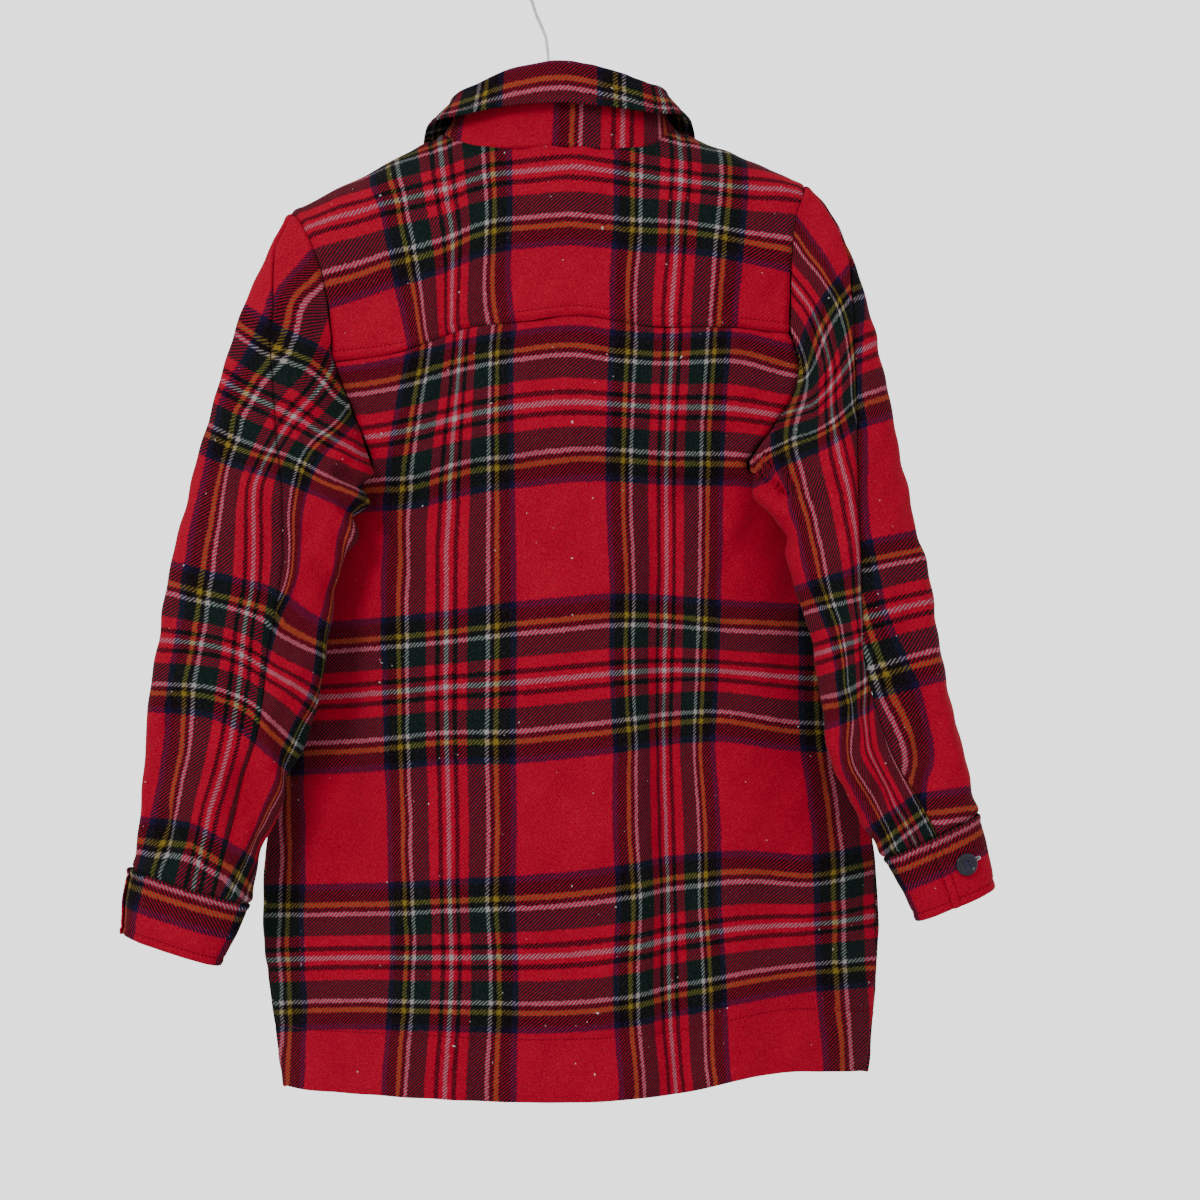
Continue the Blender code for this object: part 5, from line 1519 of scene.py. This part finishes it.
def buttonhole(name, spot, facing, along, length, thread):
    """Worked buttonhole: short threads side by side across the edge of a slit, in a long loop.
    The loop is two straight sides and two half rounds, and every thread lies square to it."""
    turn = axes_at(facing, along)
    bars = 64
    place = np.arange(bars) / bars
    angle = place * 2 * math.pi
    across = np.sign(np.cos(angle)) * np.abs(np.cos(angle)) ** 0.6 * length / 2
    beside = np.sign(np.sin(angle)) * np.abs(np.sin(angle)) ** 0.5 * 1.5
    inner = np.stack([across * 0.95, beside * 0.35, np.full(bars, 0.15)], axis=-1)
    outer = np.stack([across * 1.07, beside * 1.25, np.full(bars, 0.15)], axis=-1)
    part = np.linspace(0, 1, 4)[None, :, None]
    path = inner[:, None] + (outer - inner)[:, None] * part
    path[..., 2] += 0.45 * np.sin(part[..., 0] * math.pi)
    ahead = unit(outer - inner)[:, None]
    up = np.array([0, 0, 1.0])[None, None]
    side = unit(np.cross(up, ahead))
    radius = np.array([0.14, 0.26, 0.26, 0.14])[None, :, None, None]
    points, faces = tubes(path, radius, side, up, 5)
    new_object(name, points @ turn + spot, faces, thread)


def spot_on(piece, x, z):
    """Place and normal of a piece nearest to an across and height."""
    gap = (piece["place"][..., 0] - x) ** 2 + (piece["place"][..., 2] - z) ** 2
    i, j = np.unravel_index(gap.argmin(), gap.shape)
    return piece["place"][i, j], piece["normal"][i, j]


# All pieces

group = tartan_group()
wool = wool_material("tartan_wool", group)
wear = wear_group()
THREAD_BUMP = 0.0002       # metres
resin = hard_material("navy_resin", wear, (0.0025, 0.0025, 0.006, 1), (0.004, 0.004, 0.010, 1),
                      320, 0.24, 0.14, shine=0.16)
steel = hard_material("hanger_wire_steel", wear, (0.42, 0.43, 0.45, 1), (0.30, 0.31, 0.33, 1),
                      700, 0.28, 0.2, metal=1.0, shine=0.5)
red_thread = hard_material("red_thread", wear, (0.075, 0.0006, 0.004, 1), (0.055, 0.0005, 0.003, 1),
                           1500, 0.7, 0.2, bump_size=THREAD_BUMP)
navy_thread = hard_material("navy_thread", wear, (0.01, 0.01, 0.028, 1), (0.02, 0.02, 0.045, 1),
                            1500, 0.75, 0.2, bump_size=THREAD_BUMP)
pale_thread = hard_material("buttonhole_thread", wear, (0.2, 0.2, 0.21, 1), (0.08, 0.08, 0.1, 1),
                            900, 0.75, 0.2, bump_size=THREAD_BUMP)

back = back_surface()
yoke = yoke_surface()
left = front_surface(True, back, yoke)
right = front_surface(False, back, yoke)
back_piece(back, wool)
yoke_piece(yoke, wool)
front_piece("left_front", left, 1, wool)
front_piece("right_front", right, -1, wool)
# On the left arm the seam is matched above the elbow: both pieces take in each other's stripes there
left_outer = spots_of(LEFT_OUTER_ACROSS)
left_inner = spots_of(LEFT_INNER_ACROSS)
upper_inner = [spot for spot in left_inner if spot[1] > -530 and 0.5 < spot[2] < 1.5]
upper_outer = [spot for spot in left_outer if spot[1] > -470]
left_down = spots_of(LEFT_OUTER_DOWN) + spots_of(LEFT_INNER_DOWN)
sleeve_pieces("left", left, LEFT_SLEEVE, LEFT_SLEEVE_FOLDS, LEFT_SEAM,
              (left_outer + upper_inner, left_down, left_inner + upper_outer, left_down),
              LEFT_CREASES, yoke, back, wool)
sleeve_pieces("right", right, RIGHT_SLEEVE, RIGHT_SLEEVE_FOLDS, RIGHT_SEAM,
              [spots_of(chart) for chart in (RIGHT_OUTER_ACROSS, RIGHT_OUTER_DOWN, RIGHT_INNER_ACROSS,
                                             RIGHT_INNER_DOWN)],
              RIGHT_CREASES, yoke, back, wool)
cuff_piece("left", LEFT_CUFF, 5, 300, wool)
cuff_piece("right", RIGHT_CUFF, 95, -312, wool)
collar_pieces(left, yoke, right, wool)


def stitched(name, piece, *lines):
    """Rows of red stitching on one piece; lines are side, distance, and part of the side."""
    runs = [line_at(MADE[piece], *line) for line in lines]
    made = stitch_run(name, runs, red_thread)
    MADE[piece]["threads"].append(made)


stitched("yoke_stitching", "yoke", ("top", YOKE_STITCH, 0.01, 0.99))
stitched("back_hem_stitching", "back", ("bottom", HEM_STITCH, 0.01, 0.99))
for side in ("left", "right"):
    stitched(side + "_front_stitching", side + "_front", ("bottom", HEM_STITCH, 0.02, 0.93),
             ("stop", EDGE_STITCH, 0.03, 0.99), ("stop", BAND_STITCH, 0.03, 0.99))
    stitched(side + "_cuff_stitching", side + "_cuff", ("bottom", EDGE_STITCH, 0.04, 0.96),
             ("top", CUFF_TOP_STITCH, 0.04, 0.96), ("stop", EDGE_STITCH, 0.06, 0.94))
stitched("collar_stitching", "collar_leaf", ("bottom", EDGE_STITCH, 0.02, 0.98))

shape = button_mesh()
HOLE_LIFT = 0.1            # height of a buttonhole's foot over the cloth
for number, height in enumerate(FRONT_BUTTONS):
    name = "front_button_" + str(number + 1)
    spot, facing = spot_on(MADE["left_front"], 0, height)
    sew_button(name, shape, spot, facing, (1, 0, 0), resin, navy_thread)
    buttonhole(name + "_hole", spot + facing * HOLE_LIFT, facing, (1, 0, 0), 24, navy_thread)
for side in ("left", "right"):
    low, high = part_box(side + "_cuff_button")
    centre = (np.array(low) + np.array(high)) / 2 / MM
    cuff = MADE[side + "_cuff"]
    gap = np.linalg.norm(cuff["place"] - centre, axis=-1)
    i, j = np.unravel_index(gap.argmin(), gap.shape)
    along = cuff["place"][min(i + 1, len(cuff["place"]) - 1), j] - cuff["place"][i - 1, j]
    spot, facing = cuff["place"][i, j], cuff["normal"][i, j]
    sew_button(side + "_cuff_button", shape, spot, facing, along, resin, navy_thread)
    buttonhole(side + "_cuff_buttonhole", spot + facing * HOLE_LIFT - unit(along) * 3, facing, along, 20,
               pale_thread)

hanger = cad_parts["hanger"]
hanger.data.materials.clear()
hanger.data.materials.append(steel)

# Floor, light and camera

FLOOR_HEIGHT = -1.32       # metres
FLOOR_RADIUS = 1.15
AIM = (0, 0, -0.5)         # middle of the jacket, metres

bpy.ops.mesh.primitive_circle_add(vertices=96, radius=FLOOR_RADIUS, fill_type="NGON",
                                  location=(0, 0, FLOOR_HEIGHT))
floor = bpy.context.object
floor.name = "studio_floor"
pale = bpy.data.materials.new("pale_floor")
pale.use_nodes = True
floor_wires = Wiring(pale.node_tree)
floor_place = pale.node_tree.nodes.new("ShaderNodeTexCoord").outputs["Object"]
floor_tone = floor_wires.noise(floor_place, 3.0, 4.0)
floor_wires.put(floor_wires.mix("MIX", floor_tone, (0.80, 0.80, 0.80, 1), (0.84, 0.84, 0.84, 1)),
                pale.node_tree.nodes["Principled BSDF"].inputs["Base Color"])
pale.node_tree.nodes["Principled BSDF"].inputs["Roughness"].default_value = 0.9
floor.data.materials.append(pale)

world = bpy.data.worlds.new("studio")
bpy.context.scene.world = world
world.use_nodes = True
world.node_tree.nodes["Background"].inputs[0].default_value = (1, 1, 1, 1)
world.node_tree.nodes["Background"].inputs[1].default_value = 2.1


def soft_lamp(name, place, size, power):
    """Square area lamp that looks at the middle of the jacket."""
    data = bpy.data.lights.new(name, "AREA")
    data.size = size
    data.energy = power
    lamp = bpy.data.objects.new(name, data)
    lamp.location = place
    lamp.rotation_euler = (Vector(AIM) - Vector(place)).to_track_quat("-Z", "Y").to_euler()
    bpy.context.scene.collection.objects.link(lamp)


soft_lamp("key_lamp", (1.5, 2.3, 0.9), 0.9, 105)
soft_lamp("fill_lamp", (-1.9, 1.8, -0.2), 1.6, 7)
soft_lamp("front_lamp", (-1.2, -2.2, 0.8), 1.6, 40)

lens = bpy.data.cameras.new("camera")
lens.sensor_width = 36
lens.lens = 36 * EYE_AWAY / VIEW_WIDE
lens.clip_end = 50
eye = bpy.data.objects.new("camera", lens)
eye.location = (VIEW_X * MM, EYE_AWAY * MM, VIEW_Z * MM)
eye.rotation_euler = (math.pi / 2, 0, math.pi)
bpy.context.scene.collection.objects.link(eye)
bpy.context.scene.camera = eye
